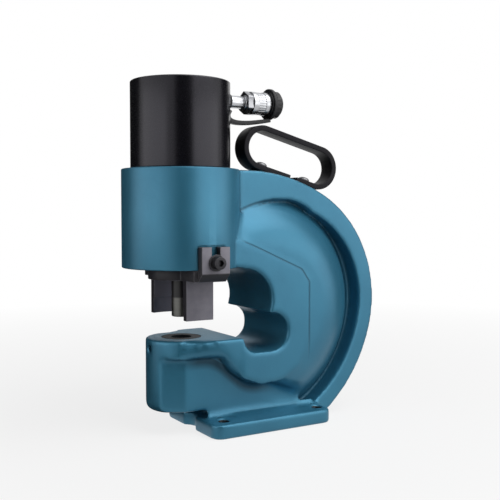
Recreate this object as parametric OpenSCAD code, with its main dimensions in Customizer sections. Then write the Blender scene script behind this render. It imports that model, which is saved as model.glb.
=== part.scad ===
// Hydraulic hole punch: a cast C frame on a bolted foot, with a single-acting
// cylinder that drives a punch down into a die, and a spring that lifts it back.
// The origin is on the floor, at the centre of the four foot bolts. +X is the back.

/* [Foot and jaw] */
// Length of the foot plate, front to back
foot_l = 147.5; // [144:0.5:160]
// Width of the foot plate
foot_w = 121.4; // [112:0.2:130]
// Thickness of the foot plate
foot_t = 15.5; // [10:0.5:20]
// Corner radius of the foot plate
foot_corner_r = 11; // [6:0.5:14]
// Distance from the front of the foot plate to its front bolts
bolt_front_edge = 18.7; // [14:0.1:22]
// Distance from the back of the foot plate to its back bolts
bolt_back_edge = 9.8; // [9.5:0.1:14]
// Spacing of the foot bolts, side to side
bolt_span_y = 86; // [82:1:96]
// Diameter of the foot bolt holes
foot_hole_d = 11; // [8:0.5:13]
// Height of the anvil top above the floor
anvil_z = 100.7; // [96:0.1:108]
// Height of the open gap between the anvil and the cylinder housing
work_gap = 74.5; // [72:0.5:82]
// Radius of the rounded anvil nose
nose_r = 38; // [35:0.5:42]
// Height of the underside of the anvil nose
nose_z = 25; // [20:0.5:32]
// Width of the pad round the throat
pad_w = 98; // [94:1:104]

/* [Frame back] */
// Radius of the back of the C frame
back_r = 137; // [132:0.5:142]
// Distance from the punch axis to the centre of the back curve
back_x = 101; // [98:0.5:106]
// Height of the centre of the back curve
back_z = 133; // [130:0.5:138]
// Radius of the heel below the back curve
heel_r = 172; // [165:1:180]
// Width of the outer rim across the frame
rim_w = 60; // [50:1:70]
// Depth of the outer rim at the back
rim_depth = 20.5; // [16:0.5:26]
// Depth of the outer rim at the top
rim_top_depth = 31.4; // [28:0.2:36]
// Thickness of the web in the groove beside the rim
web_t = 20; // [14:1:30]

/* [Hydraulics] */
// Outside diameter of the blue cylinder housing
housing_d = 125; // [118:0.5:130]
// Height of the cylinder housing
housing_h = 103.4; // [98:0.2:110]
// Outside diameter of the black cylinder
barrel_d = 105.5; // [98:0.5:110]
// Height of the black cylinder above the housing
barrel_h = 91.4; // [85:0.2:100]
// Bore of the cylinder
bore_d = 80; // [74:0.5:82]
// Thickness of the piston
piston_t = 25; // [22:0.5:28]
// Diameter of the ram rod
rod_d = 48; // [44:0.5:52]
// Working stroke of the ram
stroke = 24; // [12:0.5:26]
// Wire diameter of the return spring
spring_wire_d = 7; // [5:0.5:8]
// Number of turns in the return spring
spring_turns = 8; // [5:1:9]

/* [Tooling] */
// Diameter of the punch
punch_d = 20.5; // [14:0.5:21]
// Gap left between the punch tip and the die at rest
daylight = 22; // [18:0.5:24]
// Clearance between punch and die, on the diameter
die_clearance = 1.2; // [0.6:0.1:2]
// Outside diameter of the die
die_d = 42.8; // [40:0.2:48]
// Height of the die
die_h = 25; // [18:0.5:28]
// Width of a stripper leg along the frame
leg_w = 31; // [26:0.5:34]
// Distance across the outer faces of the stripper legs
leg_span = 88.2; // [84:0.2:92]
// Thickness of a stripper leg
leg_t = 8.2; // [6:0.2:10]
// Distance across the outer faces of the stripper ears
ear_span = 139.2; // [136:0.2:142]
// Thickness of a stripper ear
ear_t = 11.8; // [10:0.2:12]
// Travel of the stripper in its slots
stripper_travel = 12; // [6:0.5:13]

/* [Hose coupler] */
// Depth of the hose port below the cylinder top
port_drop = 16; // [14:0.5:20]
// Diameter of the nipple
nipple_d = 14; // [12:0.5:15]
// Length of the nipple outside the cylinder
nipple_l = 24.5; // [23:0.5:30]
// Distance across the corners of the coupler hexagon
coupler_hex_d = 26; // [24:0.5:28]
// Outside diameter of the coupler collar
collar_d = 25.6; // [24:0.2:28]
// Length of the coupler collar
collar_l = 22; // [20:0.5:26]
// Outside diameter of the dust cap
cap_d = 30; // [28:0.5:32]
// Length of the dust cap
cap_l = 14.5; // [13.5:0.5:20]

/* [Carrying handle] */
// Distance between the two end curves of the handle
handle_l = 77.7; // [70:0.1:85]
// Outside radius of the end curves
handle_r = 25; // [22:0.5:28]
// Thickness of the handle strap
strap_t = 6.2; // [5:0.1:8]
// Width of the handle strap
strap_w = 22; // [18:0.5:26]
// Slope of the handle, in degrees
handle_slope = 15; // [10:0.5:18]

/* [Hidden] */
$fn = 64;

// Shared fits: one overrun for cuts, a seat, a running fit and an open clearance
over = 1;
seat_gap = 0.05;
run_gap = 0.06;
open_gap = 0.4;

// Heights that follow from the driving sizes
housing_z = anvil_z + work_gap;
housing_top = housing_z + housing_h;
barrel_top = housing_top + barrel_h;
port_z = barrel_top - port_drop;
tip_z = anvil_z + daylight;
housing_r = housing_d / 2;
barrel_r = barrel_d / 2;
bore_r = bore_d / 2;
rod_r = rod_d / 2;
pad_half = pad_w / 2;
rim_half = rim_w / 2;

// Throat and pad, measured from the punch axis
throat_r = 35;
throat_x = 50;
throat_fill_share = 0.86;
throat_roof_drop = 1.2;
throat_z = housing_z - throat_r - throat_roof_drop;
pocket_r = 20.5;
pocket_x = 85;
pocket_rise = 4.3;
pocket_z = anvil_z + pocket_rise;
pocket_front_r = 15.5;
pocket_front_x = 66.5;
pocket_floor_z = pocket_z - pocket_r;
pad_back_x = 133;
pad_low_z = 49;
pad_rise = 30;
pad_top_z = housing_z + pad_rise;
flange_t = 19.5;
flare_angle = atan2(pad_half, throat_x) + acos(nose_r / norm([throat_x, pad_half]));
flare_share = 0.95;
upper_pad_shares = [[0.2, 1], [0.34, 1], [0.925, 0.782], [1, 0.692], [1, 0.33], [0.3, 0.33]];
lower_pad_shares = [[1, 0.4], [1, 0.276], [0.902, 0.109], [0.774, 0.032], [0.66, 0.006], [0.526, 0],
    [0.376, 0.051], [0.27, 0.122], [0.203, 0.218], [0.203, 0.4]];

// Side outline of the back, three tangent arcs from the top to the heel
crown_angle = 62;
heel_angle = -15;
crown_r = (housing_top - back_z - back_r * sin(crown_angle)) / (1 - sin(crown_angle));
crown_x = back_x + (back_r - crown_r) * cos(crown_angle);
crown_z = housing_top - crown_r;
heel_x = back_x + (back_r - heel_r) * cos(heel_angle);
heel_z = back_z + (back_r - heel_r) * sin(heel_angle);
heel_end_angle = -asin(heel_z / heel_r);
groove_shift = 9;
groove_r = back_r - rim_depth - groove_shift;
groove_top = housing_top - rim_top_depth;
groove_end_angle = -asin(heel_z / (heel_r - rim_depth));
groove_turn_angle = 66;
groove_crown_x = 112;
groove_crown_r = 140.5;
groove_front_angle = 142;
groove_corner_r = 58.5;
groove_corner_angle = 47;

// Domed inner body round the throat
dome_r = 127;
dome_x = pocket_x;
dome_drop = 3;
dome_z = back_z - dome_drop;
dome_shares = [[0, 0], [1, 0], [1, 0.18], [0.968, 0.3], [0.932, 0.42], [0.892, 0.53], [0.848, 0.64],
    [0.798, 0.745], [0.74, 0.84], [0.68, 0.91], [0.61, 0.96], [0.53, 0.985], [0, 0.985]];
lower_web_half = 30;
lower_web_back_x = 130;
cheek_x = 10;
cheek_angle = 27;
foot_fillet_r = 9;
nose_round_r = 6;
neck_fillet_r = 8;

// Foot
foot_front_x = 9.3;
foot_back_x = foot_front_x + foot_l;
slug_r = 16;
foot_hole_r = foot_hole_d / 2;
bolt_span_x = foot_l - bolt_front_edge - bolt_back_edge;
bolt_front_x = foot_front_x + bolt_front_edge;
bolt_back_x = bolt_front_x + bolt_span_x;
axis_setback = bolt_front_x + bolt_span_x / 2;
spot_wall = 3.5;
spot_r = foot_hole_r + spot_wall;

// Housing bores, from the bottom up
housing_round_r = 2.5;
lip_t = 17;
wiper_t = 5;
bush_h = 20;
bush_wall = 6;
bush_r = rod_r + bush_wall;
wiper_z = housing_z + lip_t;
bush_z = wiper_z + wiper_t;
shelf_z = bush_z + bush_h;
spigot_l = 54;
spigot_wall = 6;
spigot_r = bore_r + spigot_wall;
spigot_z = housing_top - spigot_l;
lip_gap = 2;
lip_r = rod_r + lip_gap;
flat_y = ear_span / 2 - ear_t - open_gap / 2;
ear_drop = 3.7;
stud_rise = 7.8;
slot_spare = 3.7;
flat_run = 2;
ear_z = housing_z - ear_drop;
ear_h = ear_drop + stud_rise + stripper_travel + slot_spare;
flat_h = ear_z + ear_h - housing_z + flat_run;

// Piston and ram at rest, drawn up against the cylinder roof
roof_gap = 1;
port_roof = 8;
roof_z = port_z - port_roof;
piston_top = roof_z - roof_gap;
piston_z = piston_top - piston_t;
piston_r = bore_r - run_gap;
stop_step = 2;
stop_gap = 0.3;
stop_z = piston_z - stroke - stop_gap;
barrel_edge = 1.5;
seal_t = 6;
seal_depth = 4;
seal_z = piston_top - 2 * seal_t;
wear_t = 5;
wear_z = piston_z + wear_t;
spigot_pin_r = 16;
piston_crown_t = 8;
spigot_pin_h = piston_t - piston_crown_t;
piston_screw_r = 5;
piston_screw_l = 40;
piston_screw_head_r = 8;
piston_screw_head_h = 6;
nut_drop = 10.6;
nut_z = housing_z - nut_drop;
nut_h = 25.5;
nut_step = 0.6;
nut_r = rod_r - nut_step;
nut_lip_t = 4;
punch_head_t = 4.2;
punch_head_r = 15;
punch_r = punch_d / 2;
tail_r = 17;
tail_z = nut_z + nut_lip_t + punch_head_t;
shoulder_z = nut_z + nut_h;
punch_edge = 0.8;

// Return spring, between the shelf over the bush and the piston
spring_r = (rod_r + bore_r - stop_step) / 2;
spring_wire_r = spring_wire_d / 2;
spring_rings = 8;
spring_sides = 6;
spring_low = shelf_z + spring_wire_r + open_gap;
spring_high = piston_z - spring_wire_r - open_gap;

// Stripper
leg_half = leg_w / 2;
plate_t = 11.7;
plate_gap = 0.4;
plate_top = housing_z - plate_gap;
plate_low = plate_top - plate_t;
ear_x0 = -10.7;
ear_x1 = 21;
ear_slant = 8.5;
ear_low = plate_low + ear_slant;
yoke_gap = 3;
yoke_wall = 8;
yoke_hole_r = rod_r + yoke_gap;
yoke_ring_r = yoke_hole_r + yoke_wall;
leg_relief_r = leg_span / 2 - leg_t / 2;
leg_relief_h = 17;
slot_w = 9.5;
stud_r = 4;
stud_x = (ear_x0 + ear_x1) / 2;
stud_z = housing_z + stud_rise;
washer_r = 8.5;
washer_t = 1.6;
stud_head_r = 6.5;
stud_head_h = 8;
stud_in = 14;
hex_key_r = 3.6;
hex_key_h = 4;
washer_gap = 0.1;
washer_y = ear_span / 2 + washer_gap;

// Die and its grub screw
die_r = die_d / 2;
die_z = anvil_z - die_h;
die_hole_r = punch_r + die_clearance / 2;
die_relief_share = 0.4;
die_relief = 1.2;
grub_r = 4;
grub_l = 10;
grub_drop = 10.5;
grub_z = anvil_z - grub_drop;
grub_inset = 2;
grub_key_share = 0.65;

// Hose coupler, along X from the side of the cylinder
nipple_r = nipple_d / 2;
nipple_bore_r = 3;
nipple_in = 14;
port_r = 4;
washer_gap_t = 1.5;
nipple_washer_wall = 1.5;
nipple_washer_r = nipple_r + nipple_washer_wall;
hex_l = 7;
hex_x = barrel_r + nipple_l;
hex_bore_r = 3;
body_r = 9.6;
body_x = hex_x + hex_l;
collar_x = body_x + open_gap;
collar_end_x = collar_x + collar_l;
mouth_l = 7;
body_end_x = collar_end_x + mouth_l;
body_bore_r = 6.4;
nipple_screw_r = 5;
nipple_screw_l = 5;
collar_r = collar_d / 2;
knurl_count = 28;
knurl_r = 0.6;
knurl_l = 9;
collar_lip = 1;
poppet_r = body_bore_r - open_gap;
poppet_t = 5;
poppet_stem_r = 2.4;
stem_inset = 0.6;
poppet_travel = 3;
poppet_in = 9;
poppet_stem_l = poppet_in - poppet_t - stem_inset;
spring_room = 18.4;
poppet_x = body_end_x - poppet_in;
chamber_x = poppet_x - poppet_travel - spring_room;
mouth_lip = 1.4;
mouth_r = body_bore_r - mouth_lip;
poppet_spring_r = 4.6;
poppet_wire_r = 0.7;
poppet_turns = 4;
cap_x = collar_end_x + open_gap;
cap_end_x = cap_x + cap_l;
cap_r = cap_d / 2;
cap_wall_t = 4;
cap_grip_count = 20;
cap_grip_r = 0.7;
cap_hole_r = body_r + run_gap;
eye_t = 4;
eye_wall = 2.4;
eye_r = cap_r + eye_wall;
eye_gap = 0.3;
eye_seat = 1;

// Rubber tether from the dust cap back to the nipple
tether_t = 4.5;
tether_w = 9;
nipple_eye_w = 6;
nipple_eye_r = nipple_r + eye_wall;
nipple_eye_in = 3.2;
nipple_eye_x = barrel_r + nipple_eye_in;
tether_x0 = nipple_eye_x + nipple_eye_w / 2;
tether_x1 = cap_x + eye_seat + eye_t / 2;
tether_z0 = port_z - nipple_r - tether_t / 2;
tether_z1 = port_z - cap_r - open_gap - tether_t / 2;
tether_lead = 14;
tether_sag = 21;
tether_ends = [[tether_x0, tether_z0], [tether_x1, tether_z1]];
tether_pull = [tether_x0 - tether_lead, tether_z0 - tether_sag];
tether_steps = 16;

// Carrying handle on its seat on the crown of the frame
handle_dir = [cos(handle_slope), -sin(handle_slope)];
handle_up = [sin(handle_slope), cos(handle_slope)];
handle_x = 97;
seat_rise = 0.83;
crown_reach = crown_x * handle_up[0] + crown_z * handle_up[1] + crown_r;
handle_z = (crown_reach + seat_rise + handle_r - handle_x * handle_up[0]) / handle_up[1];
handle_rise = handle_r - strap_t;
handle_cut_share = 0.55;
handle_gap_share = 0.11;
handle_screw_shares = [0.1, 0.87];
handle_screw_r = 4;
handle_screw_l = 22;
handle_head_r = 6.5;
handle_head_h = 3.4;
handle_head_turn = 30;
handle_washer_r = 7.2;
handle_washer_t = 1.2;
seat_from = 0;
seat_to_share = 0.985;
seat_w = 26;
seat_deep = 30;

function arc(cx, cz, r, a0, a1, n) =
    [for (i = [0 : n]) [cx + r * cos(a0 + (a1 - a0) * i / n), cz + r * sin(a0 + (a1 - a0) * i / n)]];
function shape(shares, x, z0, z1) = [for (s = shares) [s[0] * x, z0 + s[1] * (z1 - z0)]];

// Tube wound round the Z axis: ring i of a coil, and the whole coil as one skin
function coil_point(r, low, high, turns, i) =
    let (a = 360 * i / spring_rings, rise = (high - low) / (turns * spring_rings))
    [r * cos(a), r * sin(a), low + rise * i];
function coil_points(r, wire, low, high, turns) = [
    for (i = [0 : turns * spring_rings]) for (k = [0 : spring_sides - 1])
    let (a = 360 * i / spring_rings, b = 360 * k / spring_sides, p = coil_point(r, low, high, turns, i))
    [p[0] + wire * cos(b) * cos(a), p[1] + wire * cos(b) * sin(a), p[2] + wire * sin(b)]];
function coil_faces(turns) = let (n = turns * spring_rings, m = spring_sides) concat(
    [for (k = [1 : m - 2]) [0, k, k + 1]],
    [for (i = [0 : n - 1]) for (k = [0 : m - 1])
        let (j = (k + 1) % m) [i * m + k, (i + 1) * m + k, (i + 1) * m + j]],
    [for (i = [0 : n - 1]) for (k = [0 : m - 1])
        let (j = (k + 1) % m) [i * m + k, (i + 1) * m + j, i * m + j]],
    [for (k = [1 : m - 2]) [n * m, n * m + k + 1, n * m + k]]);
module coil(r, wire, low, high, turns)
    polyhedron(coil_points(r, wire, low, high, turns), coil_faces(turns), convexity = 10);
function coil_gap(wire, low, high, turns) = (high - low) / turns - 2 * wire;
echo(return_spring_gap = coil_gap(spring_wire_r, spring_low, spring_high, spring_turns));

// Placing: onto the punch axis, and side outlines stood up across the frame
module on_axis() { translate([-axis_setback, 0, 0]) children(); }
module across(w) { translate([0, w / 2, 0]) rotate([90, 0, 0]) linear_extrude(w) children(); }
module along_x(x, z) { translate([x, 0, z]) rotate([0, 90, 0]) children(); }
module along_y(x, z, w) { translate([x, w / 2, z]) rotate([90, 0, 0]) children(); }
module both_sides() { for (s = [0, 1]) mirror([0, s, 0]) children(); }
module ring(r_out, r_in, h) {
    difference() {
        cylinder(r = r_out, h = h);
        translate([0, 0, -over]) cylinder(r = r_in, h = h + 2 * over);
    }
}

// Side outlines of the frame
module back_outline() {
    polygon(concat(
        [[0, nose_z], [0, housing_top]],
        arc(crown_x, crown_z, crown_r, 90, crown_angle, 8),
        arc(back_x, back_z, back_r, crown_angle, heel_angle, 18),
        arc(heel_x, heel_z, heel_r, heel_angle, heel_end_angle, 9),
        [[foot_front_x + slug_r, 0], [foot_front_x + slug_r, nose_z]]));
}
module groove_outline() {
    polygon(concat(
        [[0, 0]],
        arc(groove_crown_x, groove_top - groove_crown_r, groove_crown_r, groove_front_angle, 90, 10),
        arc(groove_crown_x, groove_top - groove_corner_r, groove_corner_r, 85, groove_corner_angle, 5),
        arc(back_x + groove_shift, back_z, groove_r, groove_turn_angle, heel_angle, 18),
        arc(heel_x, heel_z, heel_r - rim_depth, heel_angle, groove_end_angle, 9)));
}
module recess_outline() {
    polygon([[-nose_r, 0], [-nose_r, anvil_z - flange_t],
        for (i = [8 : -1 : 4]) shape(lower_pad_shares, pad_back_x, pad_low_z, pad_top_z)[i],
        [foot_back_x - spot_r, nose_z], [foot_back_x - spot_r, 0]]);
}
module anvil_plan() {
    circle(r = nose_r);
    flare = flare_share * nose_r * [cos(flare_angle), sin(flare_angle)];
    polygon([flare, [throat_x, pad_half], [pad_back_x, pad_half],
        [pad_back_x, -pad_half], [throat_x, -pad_half], [flare[0], -flare[1]]]);
}
module cheek_plan() {
    front_half = lower_web_half - (nose_r - cheek_x) * tan(cheek_angle);
    polygon([[-nose_r, -front_half], [-cheek_x, -lower_web_half], [nose_r, -lower_web_half],
        [nose_r, lower_web_half], [-cheek_x, lower_web_half], [-nose_r, front_half]]);
}
module foot_plan() {
    translate([foot_front_x, -foot_w / 2 + foot_corner_r]) square([foot_l, foot_w - 2 * foot_corner_r]);
    translate([foot_front_x + foot_corner_r, -foot_w / 2]) square([foot_l - 2 * foot_corner_r, foot_w]);
    for (x = [foot_front_x + foot_corner_r, foot_back_x - foot_corner_r])
        for (y = [-1, 1])
            translate([x, y * (foot_w / 2 - foot_corner_r)]) circle(r = foot_corner_r);
}

// Solid parts of the frame casting
module housing_body() {
    rotate_extrude() polygon(concat([[0, housing_z]],
        arc(housing_r - housing_round_r, housing_z + housing_round_r, housing_round_r, -90, 0, 5),
        [[housing_r, housing_top], [0, housing_top]]));
}
module dome() {
    translate([dome_x, 0, dome_z]) rotate([90, 0, 0]) both_halves()
        rotate_extrude() polygon([for (s = dome_shares) [s[0] * dome_r, s[1] * pad_half]]);
}
module both_halves() { for (s = [0, 1]) mirror([0, 0, s]) children(); }
module inner_body() {
    difference() {
        intersection() {
            dome();
            across(pad_w) groove_outline();
            translate([0, -pad_half, 0]) cube([2 * back_r, pad_w, housing_top]);
        }
        both_sides() translate([0, lower_web_half + pad_half, 0]) across(2 * pad_half) recess_outline();
    }
}
module lower_web() {
    across(2 * lower_web_half) polygon([
        [-cheek_x - over, nose_z], [-cheek_x - over, anvil_z - flange_t + over],
        [throat_x, anvil_z - flange_t + over], [pad_back_x, pad_low_z], [lower_web_back_x, 0],
        [foot_front_x + slug_r, 0], [foot_front_x + slug_r, nose_z]]);
}
module jaw_pads() {
    across(pad_w) polygon(shape(upper_pad_shares, pad_back_x, pad_low_z, pad_top_z));
    intersection() {
        translate([0, 0, nose_z]) linear_extrude(anvil_z - nose_z) anvil_plan();
        union() {
            intersection() {
                nose_round();
                linear_extrude(anvil_z) cheek_plan();
            }
            translate([-nose_r, -pad_half, anvil_z - flange_t]) cube([nose_r + throat_x, pad_w, flange_t]);
            across(pad_w) polygon(shape(lower_pad_shares, pad_back_x, pad_low_z, pad_top_z));
        }
    }
    across(pad_w) intersection() {
        polygon(shape(lower_pad_shares, pad_back_x, pad_low_z, pad_top_z));
        translate([throat_x, 0]) square([pad_back_x, anvil_z + throat_r]);
    }
}
module nose_round() {
    rotate_extrude() polygon(concat([[0, anvil_z], [0, nose_z]],
        arc(nose_r - nose_round_r, nose_z + nose_round_r, nose_round_r, -90, 0, 5), [[nose_r, anvil_z]]));
}
module foot_fillets() {
    front = foot_front_x + foot_corner_r / 2;
    both_sides() translate([front, lower_web_half - over, foot_t - over])
        rotate([90, 0, 90]) linear_extrude(foot_l - foot_corner_r)
            polygon(concat([[0, 0]],
                arc(foot_fillet_r + over, foot_fillet_r + over, foot_fillet_r, 180, 270, 6),
                [[foot_fillet_r + over, 0]]));
}
module neck_fillets() {
    cy = rim_half + neck_fillet_r;
    cx = sqrt(pow(housing_r + neck_fillet_r, 2) - pow(cy, 2));
    both_sides() translate([0, 0, groove_top]) linear_extrude(rim_top_depth)
        polygon(concat([[cx - neck_fillet_r, rim_half - over], [cx, rim_half - over]],
            arc(cx, cy, neck_fillet_r, 270, 180 + atan2(cy, cx), 6)));
}
module handle_seat() {
    from = handle_point(seat_from, -handle_r);
    to = handle_point(handle_l * seat_to_share, -handle_r);
    across(seat_w) polygon([from, to, [to[0], from[1] - seat_deep], [from[0], from[1] - seat_deep]]);
}

// Cuts in the frame casting
module throat_cut() {
    wide = foot_w;
    translate([-housing_r, -wide / 2, anvil_z]) cube([housing_r + throat_x, wide, work_gap]);
    along_y(throat_x, throat_z, wide) cylinder(r = throat_r, h = wide);
    along_y(pocket_x, pocket_z, wide) cylinder(r = pocket_r, h = wide);
    along_y(pocket_front_x, pocket_floor_z + pocket_front_r, wide) cylinder(r = pocket_front_r, h = wide);
    translate([pocket_front_x, -wide / 2, pocket_floor_z]) cube([pocket_x - pocket_front_x, wide, pocket_r]);
    translate([throat_x, -wide / 2, anvil_z]) cube([throat_r * throat_fill_share, wide, throat_z - anvil_z]);
}
module ram_bores() {
    translate([0, 0, housing_z - over]) cylinder(r = lip_r, h = lip_t + 2 * over);
    translate([0, 0, wiper_z]) cylinder(r = bush_r + seat_gap, h = shelf_z - wiper_z + over);
    translate([0, 0, shelf_z]) cylinder(r = bore_r + over, h = housing_h);
    translate([0, 0, spigot_z]) cylinder(r = spigot_r + seat_gap, h = spigot_l + over);
}
module stud_holes() {
    both_sides() {
        translate([-housing_r, flat_y, housing_z - over]) cube([housing_d, housing_r, flat_h + over]);
        translate([stud_x, flat_y + over, stud_z]) rotate([90, 0, 0])
            cylinder(r = stud_r + seat_gap, h = stud_in + over);
    }
}
module die_bores() {
    translate([0, 0, die_z]) cylinder(r = die_r + seat_gap, h = die_h + over);
    translate([0, 0, -over]) cylinder(r = slug_r, h = anvil_z);
    along_x(-nose_r - over, grub_z) cylinder(r = grub_r + seat_gap, h = nose_r + over);
}
module foot_holes() {
    for (x = [bolt_front_x, bolt_back_x])
        for (y = [-1, 1])
            translate([x, y * bolt_span_y / 2, -over]) {
                cylinder(r = foot_hole_r, h = foot_t + 2 * over);
                translate([0, 0, foot_t + over]) cylinder(r = spot_r, h = nose_z);
            }
}
module handle_holes() {
    for (s = handle_screw_shares)
        handle_screw_at(s) translate([0, 0, -handle_screw_l])
            cylinder(r = handle_screw_r + seat_gap, h = handle_screw_l);
}

module c_frame() {
    color("#3d7f9c") on_axis() difference() {
        union() {
            housing_body();
            across(web_t) back_outline();
            across(rim_w) difference() {
                back_outline();
                groove_outline();
            }
            inner_body();
            lower_web();
            jaw_pads();
            handle_seat();
            foot_fillets();
            neck_fillets();
            linear_extrude(foot_t) foot_plan();
        }
        throat_cut();
        ram_bores();
        stud_holes();
        die_bores();
        foot_holes();
        handle_holes();
    }
}

// Hydraulics
module hydraulic_cylinder() {
    color("#17171a") on_axis() difference() {
        union() {
            rotate_extrude() polygon(concat([[0, housing_top], [barrel_r, housing_top]],
                arc(barrel_r - barrel_edge, barrel_top - barrel_edge, barrel_edge, 0, 90, 4),
                [[0, barrel_top]]));
            translate([0, 0, spigot_z]) cylinder(r = spigot_r, h = spigot_l + over);
        }
        translate([0, 0, spigot_z - over]) cylinder(r = bore_r - stop_step, h = stop_z - spigot_z + 2 * over);
        translate([0, 0, stop_z]) cylinder(r = bore_r, h = roof_z - stop_z);
        translate([0, 0, roof_z - over]) cylinder(r = port_r, h = port_z - roof_z + over);
        along_x(0, port_z) cylinder(r = port_r, h = barrel_r);
        along_x(barrel_r - nipple_in, port_z) cylinder(r = nipple_r + seat_gap, h = nipple_in + over);
    }
}

module guide_bush() {
    color("#b08d4a") on_axis() translate([0, 0, bush_z]) ring(bush_r, rod_r + run_gap, bush_h);
}

module rod_wiper() {
    color("#202020") on_axis() translate([0, 0, wiper_z]) ring(bush_r, rod_r + run_gap, wiper_t);
}

module return_spring() {
    color("#8a8f94") on_axis() coil(spring_r, spring_wire_r, spring_low, spring_high, spring_turns);
}

// Moving ram
module piston() {
    color("#9aa0a6") on_axis() difference() {
        translate([0, 0, piston_z]) cylinder(r = piston_r, h = piston_t);
        translate([0, 0, piston_z - over]) cylinder(r = spigot_pin_r + seat_gap, h = spigot_pin_h + over);
        translate([0, 0, piston_z]) cylinder(r = piston_screw_r + seat_gap, h = piston_t + over);
        translate([0, 0, piston_top - piston_screw_head_h])
            cylinder(r = piston_screw_head_r + seat_gap, h = piston_screw_head_h + over);
        translate([0, 0, seal_z]) ring(piston_r + over, piston_r - seal_depth, seal_t);
        translate([0, 0, wear_z]) ring(piston_r + over, piston_r - seal_depth, wear_t);
    }
}

module piston_seal() {
    color("#1f3f6b") on_axis() translate([0, 0, seal_z])
        ring(bore_r - run_gap / 2, piston_r - seal_depth + seat_gap, seal_t);
}

module piston_wear_ring() {
    color("#7a3b2a") on_axis() translate([0, 0, wear_z])
        ring(bore_r - run_gap / 2, piston_r - seal_depth + seat_gap, wear_t);
}

module piston_screw() {
    color("#2a2a2c") on_axis() difference() {
        union() {
            translate([0, 0, piston_top - piston_screw_l]) cylinder(r = piston_screw_r, h = piston_screw_l);
            translate([0, 0, piston_top - piston_screw_head_h])
                cylinder(r = piston_screw_head_r, h = piston_screw_head_h);
        }
        translate([0, 0, piston_top - hex_key_h]) cylinder(r = hex_key_r, h = hex_key_h + over, $fn = 6);
    }
}

module ram_rod() {
    color("#c9ccd0") on_axis() difference() {
        union() {
            translate([0, 0, shoulder_z]) cylinder(r = rod_r, h = piston_z - shoulder_z);
            translate([0, 0, tail_z]) cylinder(r = tail_r, h = shoulder_z - tail_z);
            translate([0, 0, piston_z]) cylinder(r = spigot_pin_r, h = spigot_pin_h);
        }
        translate([0, 0, piston_top - piston_screw_l])
            cylinder(r = piston_screw_r + seat_gap, h = piston_screw_l);
    }
}

module punch() {
    color("#8d9095") on_axis() {
        rotate_extrude() polygon([[0, tip_z], [punch_r - punch_edge, tip_z], [punch_r, tip_z + punch_edge],
            [punch_r, tail_z - punch_head_t], [punch_head_r, tail_z - punch_head_t],
            [punch_head_r, tail_z], [0, tail_z]]);
    }
}

module punch_nut() {
    color("#2c2c30") on_axis() difference() {
        translate([0, 0, nut_z]) cylinder(r = nut_r, h = nut_h);
        translate([0, 0, nut_z - over]) cylinder(r = punch_r + seat_gap, h = nut_lip_t + 2 * over);
        translate([0, 0, nut_z + nut_lip_t]) cylinder(r = tail_r + seat_gap, h = nut_h);
    }
}

// Stripper: a yoke with two ears outside the housing and two legs beside the punch
module stripper_yoke() {
    color("#5d5a63") on_axis() difference() {
        union() {
            translate([0, 0, plate_low]) cylinder(r = yoke_ring_r, h = plate_t);
            both_sides() {
                translate([-leg_half, 0, plate_low])
                    cube([leg_half + ear_x1, ear_span / 2 - ear_low + plate_low, plate_t]);
                translate([-leg_half, leg_span / 2 - leg_t, tip_z]) cube([leg_w, leg_t, plate_top - tip_z]);
                across_ear();
            }
        }
        translate([0, 0, plate_low - over]) cylinder(r = yoke_hole_r, h = plate_t + 2 * over);
        translate([0, 0, tip_z - over]) cylinder(r = leg_relief_r, h = leg_relief_h + over);
        both_sides() {
            translate([stud_x, 0, stud_z]) rotate([-90, 0, 0]) cylinder(r = slot_w / 2, h = ear_span);
            translate([stud_x - slot_w / 2, flat_y, stud_z]) cube([slot_w, housing_r, ear_h]);
        }
    }
}
module across_ear() {
    inner = ear_span / 2 - ear_t;
    outer = ear_span / 2;
    slant = ear_low - plate_low;
    translate([ear_x0, 0, 0]) rotate([90, 0, 90]) linear_extrude(ear_x1 - ear_x0)
        polygon([[leg_span / 2, plate_low], [outer - slant, plate_low], [outer, ear_low],
            [outer, ear_z + ear_h], [inner, ear_z + ear_h], [inner, plate_top], [leg_span / 2, plate_top]]);
}

module stripper_bolts() {
    color("#1a1a1c") on_axis() both_sides() difference() {
        translate([stud_x, 0, stud_z]) rotate([-90, 0, 0]) union() {
            translate([0, 0, flat_y - stud_in])
                cylinder(r = stud_r, h = washer_y + washer_t - flat_y + stud_in);
            translate([0, 0, washer_y + washer_t]) cylinder(r = stud_head_r, h = stud_head_h);
        }
        translate([stud_x, washer_y + washer_t + stud_head_h - hex_key_h, stud_z]) rotate([-90, 0, 0])
            cylinder(r = hex_key_r, h = hex_key_h + over, $fn = 6);
    }
}

module stripper_washers() {
    color("#3a3a3e") on_axis() both_sides()
        translate([stud_x, washer_y, stud_z]) rotate([-90, 0, 0]) ring(washer_r, stud_r + seat_gap, washer_t);
}

// Die and its grub screw
module die() {
    color("#4a4d50") on_axis() difference() {
        translate([0, 0, die_z]) cylinder(r = die_r, h = die_h);
        translate([0, 0, die_z - over]) cylinder(r = die_hole_r, h = die_h + 2 * over);
        translate([0, 0, die_z - over])
            cylinder(r = die_hole_r + die_relief, h = die_h * (1 - die_relief_share) + over);
    }
}

module die_set_screw() {
    from = -die_r - grub_inset - grub_l;
    color("#141416") on_axis() difference() {
        along_x(from, grub_z) cylinder(r = grub_r, h = grub_l + grub_inset - seat_gap);
        along_x(from - over, grub_z) cylinder(r = hex_key_r * grub_key_share, h = hex_key_h + over, $fn = 6);
    }
}

// Hose coupler
module coupler_nipple() {
    color("#c4c6c8") on_axis() difference() {
        union() {
            along_x(barrel_r - nipple_in, port_z) cylinder(r = nipple_r, h = nipple_in + nipple_l);
            along_x(hex_x - over, port_z) cylinder(r = nipple_screw_r, h = nipple_screw_l + over);
        }
        along_x(barrel_r - nipple_in - over, port_z)
            cylinder(r = nipple_bore_r, h = nipple_in + nipple_l + nipple_screw_l + 2 * over);
    }
}

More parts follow.
